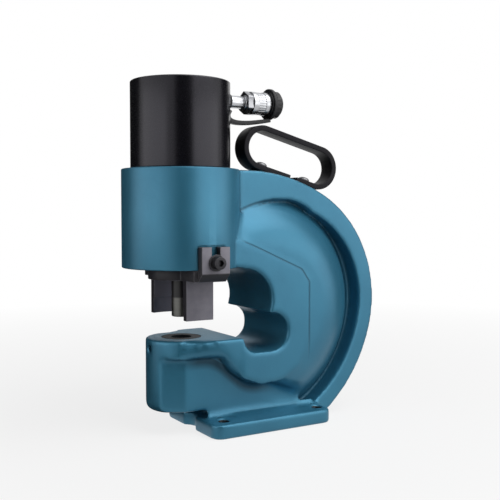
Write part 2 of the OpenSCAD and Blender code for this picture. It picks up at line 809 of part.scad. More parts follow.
module nipple_washer() {
    color("#a8abae") on_axis() along_x(hex_x - washer_gap_t, port_z)
        ring(nipple_washer_r, nipple_r + seat_gap, washer_gap_t);
}

module coupler_body() {
    color("#b9bcc0") on_axis() difference() {
        union() {
            along_x(hex_x, port_z) cylinder(r = coupler_hex_d / 2, h = hex_l, $fn = 6);
            along_x(hex_x, port_z) cylinder(r = body_r, h = body_end_x - hex_x);
        }
        along_x(hex_x - over, port_z) cylinder(r = nipple_screw_r + seat_gap, h = nipple_screw_l + over);
        along_x(hex_x, port_z) cylinder(r = hex_bore_r, h = body_end_x - hex_x);
        along_x(chamber_x, port_z) cylinder(r = body_bore_r, h = poppet_x + poppet_t + open_gap - chamber_x);
        along_x(chamber_x, port_z) cylinder(r = mouth_r, h = body_end_x - chamber_x + over);
    }
}

module coupler_collar() {
    ridge_x = collar_x + (collar_l - knurl_l) / 2;
    color("#d2d4d6") on_axis() {
        difference() {
            union() {
                along_x(collar_x, port_z) cylinder(r = collar_r, h = ridge_x - collar_x);
                along_x(ridge_x, port_z) cylinder(r = collar_r - collar_lip, h = knurl_l);
                along_x(ridge_x + knurl_l, port_z)
                    cylinder(r = collar_r, h = collar_end_x - ridge_x - knurl_l);
                for (i = [0 : knurl_count - 1])
                    along_x(ridge_x, port_z) rotate([0, 0, 360 * i / knurl_count])
                        translate([collar_r - collar_lip, 0, 0]) cylinder(r = knurl_r, h = knurl_l);
            }
            along_x(collar_x - over, port_z) cylinder(r = body_r + run_gap, h = collar_l + 2 * over);
        }
    }
}

module coupler_poppet() {
    color("#a8abae") on_axis() {
        along_x(poppet_x, port_z) cylinder(r = poppet_r, h = poppet_t);
        along_x(poppet_x + poppet_t - over, port_z) cylinder(r = poppet_stem_r, h = poppet_stem_l + over);
    }
}

module poppet_spring() {
    low = chamber_x + poppet_wire_r + open_gap;
    high = poppet_x - poppet_wire_r - open_gap;
    color("#8a8f94") on_axis() along_x(0, port_z)
        coil(poppet_spring_r, poppet_wire_r, low, high, poppet_turns);
}

// Dust cap and the rubber tether that keeps it
module dust_cap() {
    grip_x = cap_x + eye_seat + eye_t + eye_gap;
    color("#1b1b1d") on_axis() difference() {
        union() {
            along_x(cap_x, port_z) cylinder(r = cap_r - eye_gap - cap_grip_r, h = cap_l);
            along_x(cap_x, port_z) cylinder(r = cap_r, h = eye_seat - eye_gap);
            along_x(grip_x, port_z) cylinder(r = cap_r - cap_grip_r, h = cap_end_x - grip_x - cap_wall_t / 2);
            for (i = [0 : cap_grip_count - 1])
                along_x(grip_x, port_z) rotate([0, 0, 360 * i / cap_grip_count])
                    translate([cap_r - cap_grip_r, 0, 0])
                        cylinder(r = cap_grip_r, h = cap_end_x - grip_x - cap_wall_t);
        }
        along_x(cap_x - over, port_z) cylinder(r = cap_hole_r, h = body_end_x - cap_x + open_gap + over);
    }
}

function tether_mid(t) =
    (1 - t) * (1 - t) * tether_ends[0] + 2 * t * (1 - t) * tether_pull + t * t * tether_ends[1];
function tether_turn(t) = (1 - t) * (tether_pull - tether_ends[0]) + t * (tether_ends[1] - tether_pull);
function tether_side(t, out) = let (d = tether_turn(t)) tether_mid(t) + out / norm(d) * [-d[1], d[0]];
module cap_tether() {
    eye_x = cap_x + eye_seat;
    low_line = [for (i = [0 : tether_steps]) tether_side(i / tether_steps, -tether_t / 2)];
    top_line = [for (i = [tether_steps : -1 : 0]) tether_side(i / tether_steps, tether_t / 2)];
    color("#151517") on_axis() difference() {
        union() {
            along_x(nipple_eye_x, port_z) cylinder(r = nipple_eye_r, h = nipple_eye_w);
            along_x(eye_x, port_z) cylinder(r = eye_r, h = eye_t);
            across(tether_w) polygon(concat(low_line, top_line));
        }
        along_x(nipple_eye_x - over, port_z) cylinder(r = nipple_r + seat_gap, h = nipple_eye_w + 2 * over);
        along_x(eye_x - over, port_z) cylinder(r = cap_r - cap_grip_r, h = eye_t + 2 * over);
    }
}

// Carrying handle: a strap bent into a long loop, with both feet on the frame seat
function handle_point(along, out) = [handle_x, handle_z] + along * handle_dir + out * handle_up;
module handle_frame() { translate([handle_x, 0, handle_z]) rotate([0, handle_slope, 0]) children(); }
module handle_screw_at(share) { handle_frame() translate([handle_l * share, 0, -handle_rise]) children(); }
module loop_outline(r) {
    circle(r = r);
    translate([handle_l, 0]) circle(r = r);
    translate([0, -r]) square([handle_l, 2 * r]);
}
module carry_handle() {
    color("#18181a") on_axis() difference() {
        handle_frame() difference() {
            across(strap_w) loop_outline(handle_r);
            across(strap_w + 2 * over) loop_outline(handle_rise);
            translate([handle_l * handle_cut_share, -strap_w, -handle_r - over])
                cube([handle_l * handle_gap_share, 2 * strap_w, strap_t + 2 * over]);
        }
        for (s = handle_screw_shares)
            handle_screw_at(s) translate([0, 0, -strap_t - over])
                cylinder(r = handle_screw_r + seat_gap, h = strap_t + 2 * over);
    }
}

module handle_washers() {
    color("#3a3a3e") on_axis() for (s = handle_screw_shares)
        handle_screw_at(s) ring(handle_washer_r, handle_screw_r + seat_gap, handle_washer_t);
}

module handle_screws() {
    color("#1a1a1c") on_axis() for (s = handle_screw_shares)
        handle_screw_at(s) difference() {
            union() {
                translate([0, 0, strap_t - handle_screw_l])
                    cylinder(r = handle_screw_r, h = handle_screw_l - strap_t + handle_washer_t);
                translate([0, 0, handle_washer_t]) rotate_extrude() polygon(concat([[0, 0]],
                    arc(0, 0, handle_head_r, 0, handle_head_turn, 3),
                    [[handle_head_r / 2, handle_head_h], [0, handle_head_h]]));
            }
            translate([0, 0, handle_washer_t + handle_head_h - hex_key_h / 2])
                cylinder(r = hex_key_r * grub_key_share, h = hex_key_h, $fn = 6);
        }
}

c_frame();
hydraulic_cylinder();
guide_bush();
rod_wiper();
return_spring();
piston();
piston_seal();
piston_wear_ring();
piston_screw();
ram_rod();
punch();
punch_nut();
stripper_yoke();
stripper_bolts();
stripper_washers();
die();
die_set_screw();
coupler_nipple();
nipple_washer();
coupler_body();
coupler_collar();
coupler_poppet();
poppet_spring();
dust_cap();
cap_tether();
carry_handle();
handle_washers();
handle_screws();
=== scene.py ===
import math

import bmesh
import bpy
from mathutils import Matrix, Vector


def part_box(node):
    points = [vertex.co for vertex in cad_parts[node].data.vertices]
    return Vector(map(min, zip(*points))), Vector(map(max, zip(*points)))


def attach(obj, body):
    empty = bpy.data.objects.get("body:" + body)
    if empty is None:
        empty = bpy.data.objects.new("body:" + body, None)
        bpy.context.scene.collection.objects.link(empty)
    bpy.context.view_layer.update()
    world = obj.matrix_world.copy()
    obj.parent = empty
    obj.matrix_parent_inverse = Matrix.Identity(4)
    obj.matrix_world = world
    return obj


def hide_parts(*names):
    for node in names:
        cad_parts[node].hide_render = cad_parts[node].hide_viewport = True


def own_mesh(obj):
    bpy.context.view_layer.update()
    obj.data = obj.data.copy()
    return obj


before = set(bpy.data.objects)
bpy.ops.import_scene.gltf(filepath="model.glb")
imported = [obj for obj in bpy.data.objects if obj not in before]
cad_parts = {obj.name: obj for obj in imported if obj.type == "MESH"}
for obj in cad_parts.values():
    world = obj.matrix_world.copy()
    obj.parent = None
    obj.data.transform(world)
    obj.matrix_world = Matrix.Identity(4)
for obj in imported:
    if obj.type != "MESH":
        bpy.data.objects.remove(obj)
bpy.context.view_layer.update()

# Studio: a pale floor without an edge under a white surround, lit by three softboxes.
# Dark cards that only reflections show draw the dark bands on the round glossy walls.
# The camera stands where the product photographer stood, low and half in front.
mm = 0.001
scene = bpy.context.scene
scene.view_settings.view_transform = "Standard"


class Wire:
    """A shader socket that takes part in Python sums. What it makes stays in its own node tree."""

    def __init__(self, tree, socket=None):
        self.tree = tree
        self.socket = socket

    def node(self, kind, settings=None, inputs=None, output=0):
        made = self.tree.nodes.new("ShaderNode" + kind)
        for name, value in (settings or {}).items():
            setattr(made, name, value)
        for name, value in (inputs or {}).items():
            if isinstance(value, Wire):
                self.tree.links.new(value.socket, made.inputs[name])
            else:
                made.inputs[name].default_value = value
        return Wire(self.tree, made.outputs[output])

    def feed(self, shader, name):
        self.tree.links.new(self.socket, shader.inputs[name])

    def math(self, operation, *values):
        return self.node("Math", {"operation": operation}, dict(enumerate(values)))

    def __abs__(self):
        return self.math("ABSOLUTE", self)

    def __add__(self, other):
        return self.math("ADD", self, other)

    def __sub__(self, other):
        return self.math("SUBTRACT", self, other)

    def __rsub__(self, other):
        return self.math("SUBTRACT", other, self)

    def __mul__(self, other):
        return self.math("MULTIPLY", self, other)

    def __pow__(self, other):
        return self.math("POWER", self, other)

    __radd__ = __add__
    __rmul__ = __mul__


def stage_piece(name, mesh_maker, material):
    """A piece of the studio, which isn't part of the object."""
    bm = bmesh.new()
    mesh_maker(bm)
    mesh = bpy.data.meshes.new(name)
    bm.to_mesh(mesh)
    bm.free()
    mesh.materials.append(material)
    obj = bpy.data.objects.new(name, mesh)
    scene.collection.objects.link(obj)
    return obj


def background_rays(wire):
    """1 for rays that show the background: straight from the camera, mirrored or let through."""
    camera = wire.node("LightPath", output="Is Camera Ray")
    glossy = wire.node("LightPath", output="Is Glossy Ray")
    through = wire.node("LightPath", output="Is Transmission Ray")
    return wire.math("MINIMUM", camera + glossy + through, 1.0)


floor_reach = 6.0
floor_shade = 0.20
floor_white = 0.86
floor_glow = 1.0
floor_glow_near = 0.80
floor_glow_far = 1.0
floor_near = 0.25
floor_far = 1.2
floor_material = bpy.data.materials.new("studio_floor")
floor_material.use_nodes = True
floor_tree = floor_material.node_tree
floor_shader = floor_tree.nodes["Principled BSDF"]
floor_shader.inputs["Roughness"].default_value = 0.9
floor_shader.inputs["Specular IOR Level"].default_value = 0.0
floor_wire = Wire(floor_tree)
floor_seen = background_rays(floor_wire)
floor_tone = floor_seen * (floor_white - floor_shade) + floor_shade
floor_grey = floor_wire.node("CombineColor", None, {0: floor_tone, 1: floor_tone, 2: floor_tone})
floor_grey.feed(floor_shader, "Base Color")
floor_place = floor_wire.node("TexCoord", output="Object")
floor_distance = floor_wire.node("VectorMath", {"operation": "LENGTH"}, {0: floor_place}, output="Value")
floor_share = floor_wire.node(
    "MapRange", None, {0: floor_distance, 1: floor_near, 2: floor_far, 3: floor_glow_near, 4: floor_glow_far})
floor_light = floor_wire.node("Emission", None, {"Strength": floor_glow})
floor_surface = Wire(floor_tree, floor_shader.outputs[0])
floor_mixed = floor_wire.node(
    "MixShader", None, {0: floor_seen * floor_share, 1: floor_surface, 2: floor_light})
floor_mixed.feed(floor_tree.nodes["Material Output"], "Surface")
stage_piece(
    "studio_floor",
    lambda bm: bmesh.ops.create_circle(bm, cap_ends=True, segments=64, radius=floor_reach),
    floor_material)

surround_light = 0.10
part_middle = (0.0, 0.0, 0.2)
world = bpy.data.worlds.new("studio_surround")
world.use_nodes = True
scene.world = world
world_wire = Wire(world.node_tree)
world_level = background_rays(world_wire) * (1.0 - surround_light) + surround_light
world_level.feed(world.node_tree.nodes["Background"], "Strength")
world.node_tree.nodes["Background"].inputs["Color"].default_value = (1.0, 1.0, 1.0, 1.0)


def soft_lamp(name, bearing, distance, height, size, power):
    """A rectangular softbox at a bearing in degrees from the +X axis, facing the part."""
    light = bpy.data.lights.new(name, "AREA")
    light.shape = "RECTANGLE"
    light.size, light.size_y = size
    light.energy = power
    lamp = bpy.data.objects.new(name, light)
    turn = math.radians(bearing)
    lamp.location = (distance * math.cos(turn), distance * math.sin(turn), height)
    lamp.rotation_euler = (Vector(part_middle) - lamp.location).to_track_quat("-Z", "Y").to_euler()
    scene.collection.objects.link(lamp)


soft_lamp("left_softbox", bearing=183, distance=1.1, height=0.34, size=(1.20, 0.55), power=2.5)
soft_lamp("right_softbox", bearing=-58, distance=1.1, height=0.34, size=(1.45, 0.55), power=3.5)
soft_lamp("key_softbox", bearing=-62, distance=0.75, height=1.25, size=(1.2, 1.2), power=12.5)

card_black = 0.01
card_steps = 12
tall_ends = ((0.45, 0.0), (0.45, 0.7))
low_ends = ((0.24, 0.0), (0.24, 0.06))
flat_ends = ((0.1, 0.002), (0.45, 0.002))
card_material = bpy.data.materials.new("studio_card")
card_material.use_nodes = True
card_shader = card_material.node_tree.nodes["Principled BSDF"]
card_shader.inputs["Base Color"].default_value = (card_black, card_black, card_black, 1.0)
card_shader.inputs["Roughness"].default_value = 1.0


def set_card(name, start, end, ends):
    """A dark card curved round the part, between two bearings in degrees. Only reflections show it.
    Its straight sides run between two ends, each a distance from the middle and a height."""
    def build(bm):
        turn = math.radians(start)
        post = bm.edges.new([
            bm.verts.new((distance * math.cos(turn), distance * math.sin(turn), height))
            for distance, height in ends])
        bmesh.ops.spin(
            bm, geom=list(post.verts) + [post], cent=(0, 0, 0), axis=(0, 0, 1), dvec=(0, 0, 0),
            angle=math.radians(end - start), steps=card_steps)
    card = stage_piece(name, build, card_material)
    card.visible_camera = False
    card.visible_diffuse = False
    card.visible_shadow = False


set_card("front_card", start=-136, end=-101, ends=tall_ends)
set_card("left_card", start=90, end=152, ends=tall_ends)
set_card("right_card", start=-15, end=25, ends=tall_ends)
set_card("low_card", start=-150, end=-80, ends=low_ends)
set_card("floor_card", start=80, end=190, ends=flat_ends)

camera_place = (-0.4594, -0.7678, 0.2347)
camera_down = math.radians(2.80)
camera_turn = math.radians(-30.79)
camera_lens = 57.52
camera_data = bpy.data.cameras.new("photo_camera")
camera_data.sensor_width = 36.0
camera_data.lens = camera_lens
camera = bpy.data.objects.new("photo_camera", camera_data)
camera.location = camera_place
camera.rotation_euler = (math.pi / 2 - camera_down, 0.0, camera_turn)
scene.collection.objects.link(camera)
scene.camera = camera

# Frame: one steel casting with the cylinder housing, the C-shaped back with its rim and groove,
# the anvil and the foot. The cast skin is rounded at every edge and sprayed with blue enamel;
# the bores, the die seat, the stud flats and the bolt holes are machined into it afterwards.
rod_low, rod_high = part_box("ram_rod")
bush_low, bush_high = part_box("guide_bush")
wiper_low, wiper_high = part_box("rod_wiper")
die_low, die_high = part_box("die")
grub_low, grub_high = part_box("die_set_screw")
bolts_low, bolts_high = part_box("stripper_bolts")
cylinder_low, cylinder_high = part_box("hydraulic_cylinder")
axis_x = (rod_low.x + rod_high.x) / 2
bush_radius = (bush_high.x - bush_low.x) / 2
die_radius = (die_high.x - die_low.x) / 2
stud_x = (bolts_low.x + bolts_high.x) / 2
stud_z = (bolts_low.z + bolts_high.z) / 2
grub_z = (grub_low.z + grub_high.z) / 2
housing_low_z = 175.2 * mm
housing_high_z = 278.6 * mm
housing_radius = 62.5 * mm
lip_bore_radius = 26 * mm
spring_bore_radius = 41 * mm
spigot_radius = 46 * mm
slug_radius = 16 * mm
die_plug_low_z = 30 * mm
seat_clearance = 0.05 * mm
cut_overrun = 6 * mm
weld_reach = 0.001 * mm
foot_hole_radius = 5.5 * mm
foot_hole_place = (59.5 * mm, 43 * mm)
spot_face_radius = 9 * mm
spot_face_z = 16.5 * mm
flat_y = 57.6 * mm
flat_high_z = 200.7 * mm
flat_half_w = 16.8 * mm
stud_radius = 4 * mm
stud_depth = 14 * mm
cast_voxel = 1.5 * mm
cast_rounds = 12
cast_keep = 0.52
dome_rounds = 54
sweep_line = ((66 * mm, 48 * mm), (136 * mm, 26 * mm))
sweep_radius = 15 * mm
sweep_y = (12 * mm, 47.5 * mm)
sweep_low_z = 21 * mm
sweep_rounds = 40
seam_radius = 140.5 * mm
seam_drop = 31.4 * mm
seam_middle = (axis_x + 112 * mm, housing_high_z - seam_drop - seam_radius)
seam_width = (2.2 * mm, 0.4 * mm)
seam_start = (housing_radius + 0.3 * mm, housing_radius + 1.3 * mm)
seam_fade_x = (seam_middle[0], seam_middle[0] - 15 * mm)
seam_fade_z = (180 * mm, 200 * mm)
lip_z = die_high.z - 19.5 * mm
lip_slope_sum = 106 * mm
lip_belly_z = 47.5 * mm
lip_bend = 24 * mm
lip_round = 2 * mm
lip_shade = (13 * mm, 5 * mm)
lip_front_x = (-20 * mm, 4 * mm)
lip_back_x = (104 * mm, 76 * mm)
lip_wall_y = (40 * mm, 34 * mm)
dome_middle_x = 85 * mm
dome_middle_z = 130 * mm
dome_inner_radius = 74 * mm
dome_outer_radius = 121 * mm
dome_inner_y = 33 * mm
dome_outer_y = 47.5 * mm
pad_corners = (
    (axis_x + 45.2 * mm, 205.2 * mm), (axis_x + 128 * mm, 164.1 * mm), (axis_x + 133 * mm, 157 * mm))
pad_turns = (66.3, 35.5, 0.0)
pad_face_y = (46.5 * mm, 47.5 * mm)
pad_fade_z = (62 * mm, 100 * mm)
pad_start_x = (axis_x + 48 * mm, axis_x + 54 * mm)
pad_line_width = (1.3 * mm, 0.2 * mm)
dark_hole_radius = (foot_hole_radius + 0.6 * mm, foot_hole_radius + 0.2 * mm)
dark_hole_z = (spot_face_z + 2 * mm, spot_face_z + 1 * mm)
dressed_reach = (2 * mm, 1 * mm)
tone_patch = 60 * mm
wear_patch = 9 * mm
gloss_spot = 3 * mm
peel_fine = 1.5 * mm
peel_coarse = 6 * mm
peel_depth = 0.6 * mm
sleeve_round = 1.2 * mm
sleeve_draw = 0.993
smooth_angle = math.radians(35)


def turned(outline, closed=False, segments=96):
    """A solid turned round the Z axis. Its (radius, height) corners run from axis to axis or close a ring."""
    bm = bmesh.new()
    corners = [bm.verts.new((radius, 0.0, height)) for radius, height in outline]
    follow = corners[1:] + corners[:1] if closed else corners[1:]
    edges = [bm.edges.new(pair) for pair in zip(corners, follow)]
    bmesh.ops.spin(
        bm, geom=corners + edges, cent=(0, 0, 0), axis=(0, 0, 1), dvec=(0, 0, 0),
        angle=2 * math.pi, steps=segments, use_merge=True)
    bmesh.ops.remove_doubles(bm, verts=bm.verts, dist=weld_reach)
    bmesh.ops.recalc_face_normals(bm, faces=bm.faces)
    return bm


def laid(bm, place, axis=(0, 0, 1)):
    """Turns a piece made round the Z axis to another axis and moves its origin to place."""
    turn = Vector((0, 0, 1)).rotation_difference(Vector(axis)).to_matrix()
    bmesh.ops.rotate(bm, matrix=turn, verts=bm.verts)
    bmesh.ops.translate(bm, vec=place, verts=bm.verts)
    return bm


def gathered(*pieces):
    """Several bmeshes as one. Frees them."""
    result = bmesh.new()
    for piece in pieces:
        mesh = bpy.data.meshes.new("gathered")
        piece.to_mesh(mesh)
        piece.free()
        result.from_mesh(mesh)
        bpy.data.meshes.remove(mesh)
    return result


def block(low, high):
    """A closed box between two corners."""
    bm = bmesh.new()
    low, high = Vector(low), Vector(high)
    bmesh.ops.create_cube(bm, size=1.0)
    bmesh.ops.scale(bm, vec=high - low, verts=bm.verts)
    bmesh.ops.translate(bm, vec=(low + high) / 2, verts=bm.verts)
    return bm


def rod(radius, low, high, segments=96):
    """A plain round bar on the Z axis."""
    return turned([(0, low), (radius, low), (radius, high), (0, high)], segments=segments)


def settled(bm, kind, **settings):
    """The mesh bm after one modifier, as a new bmesh. Frees bm."""
    mesh = bpy.data.meshes.new("workpiece")
    bm.to_mesh(mesh)
    bm.free()
    obj = bpy.data.objects.new("workpiece", mesh)
    scene.collection.objects.link(obj)
    modifier = obj.modifiers.new(kind.lower(), kind)
    for name, value in settings.items():
        setattr(modifier, name, value)
    bpy.context.view_layer.update()
    shaped = obj.evaluated_get(bpy.context.evaluated_depsgraph_get()).to_mesh()
    result = bmesh.new()
    result.from_mesh(shaped)
    bpy.data.objects.remove(obj)
    bpy.data.meshes.remove(mesh)
    return result


def combined(bm, tool, operation="DIFFERENCE"):
    """Cuts the closed solid tool out of bm, or joins it to bm. Frees both."""
    mesh = bpy.data.meshes.new("tool")
    tool.to_mesh(mesh)
    tool.free()
    obj = bpy.data.objects.new("tool", mesh)
    scene.collection.objects.link(obj)
    result = settled(bm, "BOOLEAN", operation=operation, object=obj, solver="MANIFOLD")
    bpy.data.objects.remove(obj)
    bpy.data.meshes.remove(mesh)
    return result


def cad_copy(node):
    """The CAD solid of a node as one closed skin, with its flat faces whole again."""
    bm = bmesh.new()
    bm.from_mesh(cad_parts[node].data)
    bmesh.ops.remove_doubles(bm, verts=bm.verts, dist=weld_reach)
    return bm


def smoothed(bm, verts, rounds):
    """Rounds the skin off, a little more with every round."""
    for _ in range(rounds):
        bmesh.ops.smooth_vert(bm, verts=verts, factor=0.5, use_axis_x=True, use_axis_y=True, use_axis_z=True)


def soften(bm, width, segments=2, edges=None):
    """Rounds the sharp edges of bm, and marks the new faces as worn."""
    worn = bm.faces.layers.float.get("worn") or bm.faces.layers.float.new("worn")
    if edges is None:
        edges = [edge for edge in bm.edges if edge.calc_face_angle(0.0) > smooth_angle]
    made = bmesh.ops.bevel(
        bm, geom=edges, offset=width, offset_type="OFFSET", affect="EDGES", segments=segments,
        profile=0.5, material=-1, clamp_overlap=True)
    for face in made["faces"]:
        face[worn] = 1.0
    return bm


def hand_over(name, bm, body, material, slot, *nodes):
    """Makes a finished piece of bm that rides a body and stands for its CAD nodes. Frees bm."""
    mesh = bpy.data.meshes.new(name)
    bm.to_mesh(mesh)
    bm.free()
    mesh.shade_smooth()
    mesh.set_sharp_from_angle(angle=smooth_angle)
    mesh.materials.append(material)
    obj = bpy.data.objects.new(name, mesh)
    scene.collection.objects.link(obj)
    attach(obj, body)
    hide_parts(*nodes)
    return obj


def new_finish(name, constants):
    """A material with one Principled shader: the material, a wire in its tree and the shader."""
    material = bpy.data.materials.new(name)
    material.use_nodes = True
    shader = material.node_tree.nodes["Principled BSDF"]
    for key, value in constants.items():
        shader.inputs[key].default_value = value
    return material, Wire(material.node_tree), shader


def colour(red, green, blue):
    return (red, green, blue, 1.0)


def cloud(wire, size, detail=2.0, stretch=None):
    """Noise from 0 to 1 in Object coordinates, with spots of about that size in metres."""
    place = wire.node("TexCoord", output="Object")
    if stretch:
        place = wire.node("Mapping", None, {"Vector": place, "Scale": stretch})
    return wire.node("TexNoise", None, {"Vector": place, "Scale": 1.0 / size, "Detail": detail})


def blend_colours(wire, share, first, second):
    return wire.node("Mix", {"data_type": "RGBA"}, {0: share, 6: first, 7: second}, output=2)


def spread(wire, value, low, high, start=0.0, end=1.0):
    """Value from low to high, mapped to start to end and clamped."""
    return wire.node("MapRange", None, {0: value, 1: low, 2: high, 3: start, 4: end})


def bump(wire, shader, height, strength, depth):
    """Feeds a height field to the shader's normal; depth is its height in metres."""
    relief = wire.node("Bump", None, {"Height": height, "Strength": strength, "Distance": depth})
    relief.feed(shader, "Normal")


def object_part(wire, axis):
    """X, Y or Z of a point in Object coordinates."""
    return wire.node("SeparateXYZ", None, {0: wire.node("TexCoord", output="Object")}, output=axis)


def normal_part(wire, axis):
    """X, Y or Z of the way that a point faces."""
    return wire.node("SeparateXYZ", None, {0: wire.node("NewGeometry", output="Normal")}, output=axis)


def long_side(first, second):
    """The long side of a right triangle, from its two short sides."""
    return (first * first + second * second) ** 0.5


def pad_edge(wire):
    """Distance in metres past the raised pad's upper edge on the side of the frame, below 0 on the pad."""
    place = wire.node("TexCoord", output="Object")
    reach = None
    for (x, z), turn in zip(pad_corners, pad_turns):
        lean = math.radians(turn)
        across = wire.node(
            "VectorMath", {"operation": "DOT_PRODUCT"}, {0: place, 1: (math.cos(lean), 0.0, math.sin(lean))},
            output="Value") - (x * math.cos(lean) + z * math.sin(lean))
        reach = across if reach is None else wire.math("MAXIMUM", reach, across)
    return reach


def pad_line(wire):
    """1 on the fine line along the upper edge of the raised pad: a groove in the bump and a line of painted
    shade.
    """
    line = spread(wire, abs(pad_edge(wire)), *pad_line_width)
    line = line * spread(wire, abs(object_part(wire, "Y")), *pad_face_y)
    line = line * spread(wire, object_part(wire, "X"), *pad_start_x)
    return line * spread(wire, object_part(wire, "Z"), *pad_fade_z)


def crown_seam(wire):
    """1 on the arc where the crown meets the domed side, from the housing back: a groove in the bump and a
    line of painted shadow under the crown's edge.
    """
    along, level = object_part(wire, "X"), object_part(wire, "Z")
    off_seam = long_side(along - seam_middle[0], level - seam_middle[1]) - seam_radius
    off_axis = long_side(along - axis_x, object_part(wire, "Y"))
    seam = spread(wire, abs(off_seam), *seam_width) * spread(wire, off_axis, *seam_start)
    return seam * spread(wire, along, *seam_fade_x) * spread(wire, level, *seam_fade_z)


def lip_painted_shade(wire):
    """Painted shade: 1 on the wall close under the lip of the anvil, which runs level, down a slope and level
    again.
    """
    from_axis = object_part(wire, "X") - axis_x
    edge_z = wire.math("SMOOTH_MIN", lip_slope_sum - from_axis, lip_z, lip_bend)
    edge_z = wire.math("SMOOTH_MAX", edge_z, lip_belly_z, lip_bend)
    depth = edge_z - object_part(wire, "Z")
    painted_shade = spread(wire, depth, -lip_round, 0.0) * spread(wire, depth, *lip_shade)
    painted_shade = painted_shade * spread(wire, from_axis, *lip_front_x) * spread(wire, from_axis, *lip_back_x)
    return painted_shade * spread(wire, abs(object_part(wire, "Y")), *lip_wall_y)


def dark_holes(wire):
    """1 in the bolt holes of the foot, below their spot faces, where the enamel turns near black: bare
    drilled steel, darkened as painted shade.
    """
    hole_x = abs(object_part(wire, "X")) - foot_hole_place[0]
    hole_y = abs(object_part(wire, "Y")) - foot_hole_place[1]
    inside = spread(wire, long_side(hole_x, hole_y), *dark_hole_radius)
    return inside * spread(wire, object_part(wire, "Z"), *dark_hole_z)


def dressed_top(wire):
    """1 on the flat top of the anvil, where work has rubbed the gloss off."""
    off_top = abs(object_part(wire, "Z") - die_high.z)
    return spread(wire, normal_part(wire, "Z"), 0.85, 0.95) * spread(wire, off_top, *dressed_reach)


def blue_enamel():
    """Sprayed machine enamel: slow shifts of tone and fine orange peel; paler on edges, partly worn thin and
    partly a painted highlight; painted shade in creases, under the anvil's lip and along the pad line and
    crown seam; near black in the bolt holes.
    """
    material, wire, shader = new_finish(
        "blue_enamel", {"Metallic": 0.45, "Coat Roughness": 0.28, "Specular IOR Level": 0.25})
    body = colour(0.042, 0.203, 0.316)
    deep = colour(0.036, 0.177, 0.280)
    edge = colour(0.088, 0.280, 0.390)
    painted_shade = colour(0.010, 0.050, 0.082)
    dark_hole = colour(0.008, 0.012, 0.016)
    drift = spread(wire, cloud(wire, tone_patch, 3.0), 0.35, 0.65)
    bend = wire.node("NewGeometry", output="Pointiness")
    # Paler on convex edges, broken up by noise: partly paint worn thin, partly a painted highlight.
    ridge_wear_and_highlight = spread(wire, bend, 0.515, 0.60) * spread(wire, cloud(wire, wear_patch), 0.30, 0.70, 0.35, 1.0)
    crease_shade = spread(wire, bend, 0.494, 0.462)
    line, seam, dressed = pad_line(wire), crown_seam(wire), dressed_top(wire)
    # Painted shade: the enamel darkens in creases, under the anvil's lip and along the pad line and crown
    # seam.
    painted_shade_share = wire.math("MAXIMUM", crease_shade * 0.85, lip_painted_shade(wire) * 0.9)
    painted_shade_share = wire.math("MAXIMUM", painted_shade_share, line * 0.5 + seam * 0.6)
    tone = blend_colours(wire, drift, deep, body)
    tone = blend_colours(wire, painted_shade_share, tone, painted_shade)
    tone = blend_colours(wire, ridge_wear_and_highlight * 0.35, tone, edge)
    # Near black in the bolt holes: bare drilled steel, darkened as painted shade.
    blend_colours(wire, dark_holes(wire), tone, dark_hole).feed(shader, "Base Color")
    ((1.0 - dressed * 0.6) * 0.22).feed(shader, "Coat Weight")
    spots = spread(wire, cloud(wire, gloss_spot, 4.0), 0.3, 0.7, 0.38, 0.47)
    (spots + crease_shade * 0.12 + dressed * 0.08).feed(shader, "Roughness")
    peel = cloud(wire, peel_fine, 1.0) + cloud(wire, peel_coarse, 2.0) * 0.6
    bump(wire, shader, peel * 0.1 - line - seam, 0.8, peel_depth)
    return material


ram_plug = laid(rod(spigot_radius + cut_overrun, wiper_low.z, housing_high_z), (axis_x, 0, 0))
lip_plug = laid(rod(lip_bore_radius + cut_overrun / 2, housing_low_z, bush_low.z), (axis_x, 0, 0))
die_plug = laid(rod(die_radius + cut_overrun / 2, die_plug_low_z, die_high.z), (axis_x, 0, 0))
frame_bm = gathered(cad_copy("c_frame"), ram_plug, lip_plug, die_plug)
frame_bm = settled(frame_bm, "REMESH", mode="VOXEL", voxel_size=cast_voxel)
smoothed(frame_bm, frame_bm.verts, cast_rounds)
dome_verts = []
for vert in frame_bm.verts:
    from_middle = math.hypot(vert.co.x - axis_x - dome_middle_x, vert.co.z - dome_middle_z)
    if dome_inner_y < abs(vert.co.y) < dome_outer_y and dome_inner_radius < from_middle < dome_outer_radius:
        dome_verts.append(vert)
smoothed(frame_bm, dome_verts, dome_rounds)
sweep_start, sweep_end = (Vector((axis_x + x, z)) for x, z in sweep_line)
sweep_verts = []
for vert in frame_bm.verts:
    place = Vector((vert.co.x, vert.co.z))
    share = (place - sweep_start).dot(sweep_end - sweep_start) / (sweep_end - sweep_start).length_squared
    nearest = sweep_start.lerp(sweep_end, min(max(share, 0), 1))
    inside = sweep_y[0] < abs(vert.co.y) < sweep_y[1] and vert.co.z > sweep_low_z
    if inside and (place - nearest).length < sweep_radius:
        sweep_verts.append(vert)
smoothed(frame_bm, sweep_verts, sweep_rounds)
frame_bm = settled(frame_bm, "DECIMATE", ratio=cast_keep)

sleeve_middle = Vector((axis_x, 0, (housing_low_z + housing_high_z) / 2))
for vert in frame_bm.verts:
    from_axis = math.hypot(vert.co.x - axis_x, vert.co.y)
    if from_axis < housing_radius + cast_voxel and vert.co.z > housing_low_z - cast_voxel:
        vert.co = sleeve_middle + (vert.co - sleeve_middle) * sleeve_draw
sleeve = soften(rod(housing_radius, housing_low_z, housing_high_z, 160), sleeve_round, 3)
frame_bm = combined(frame_bm, laid(sleeve, (axis_x, 0, 0)), "UNION")

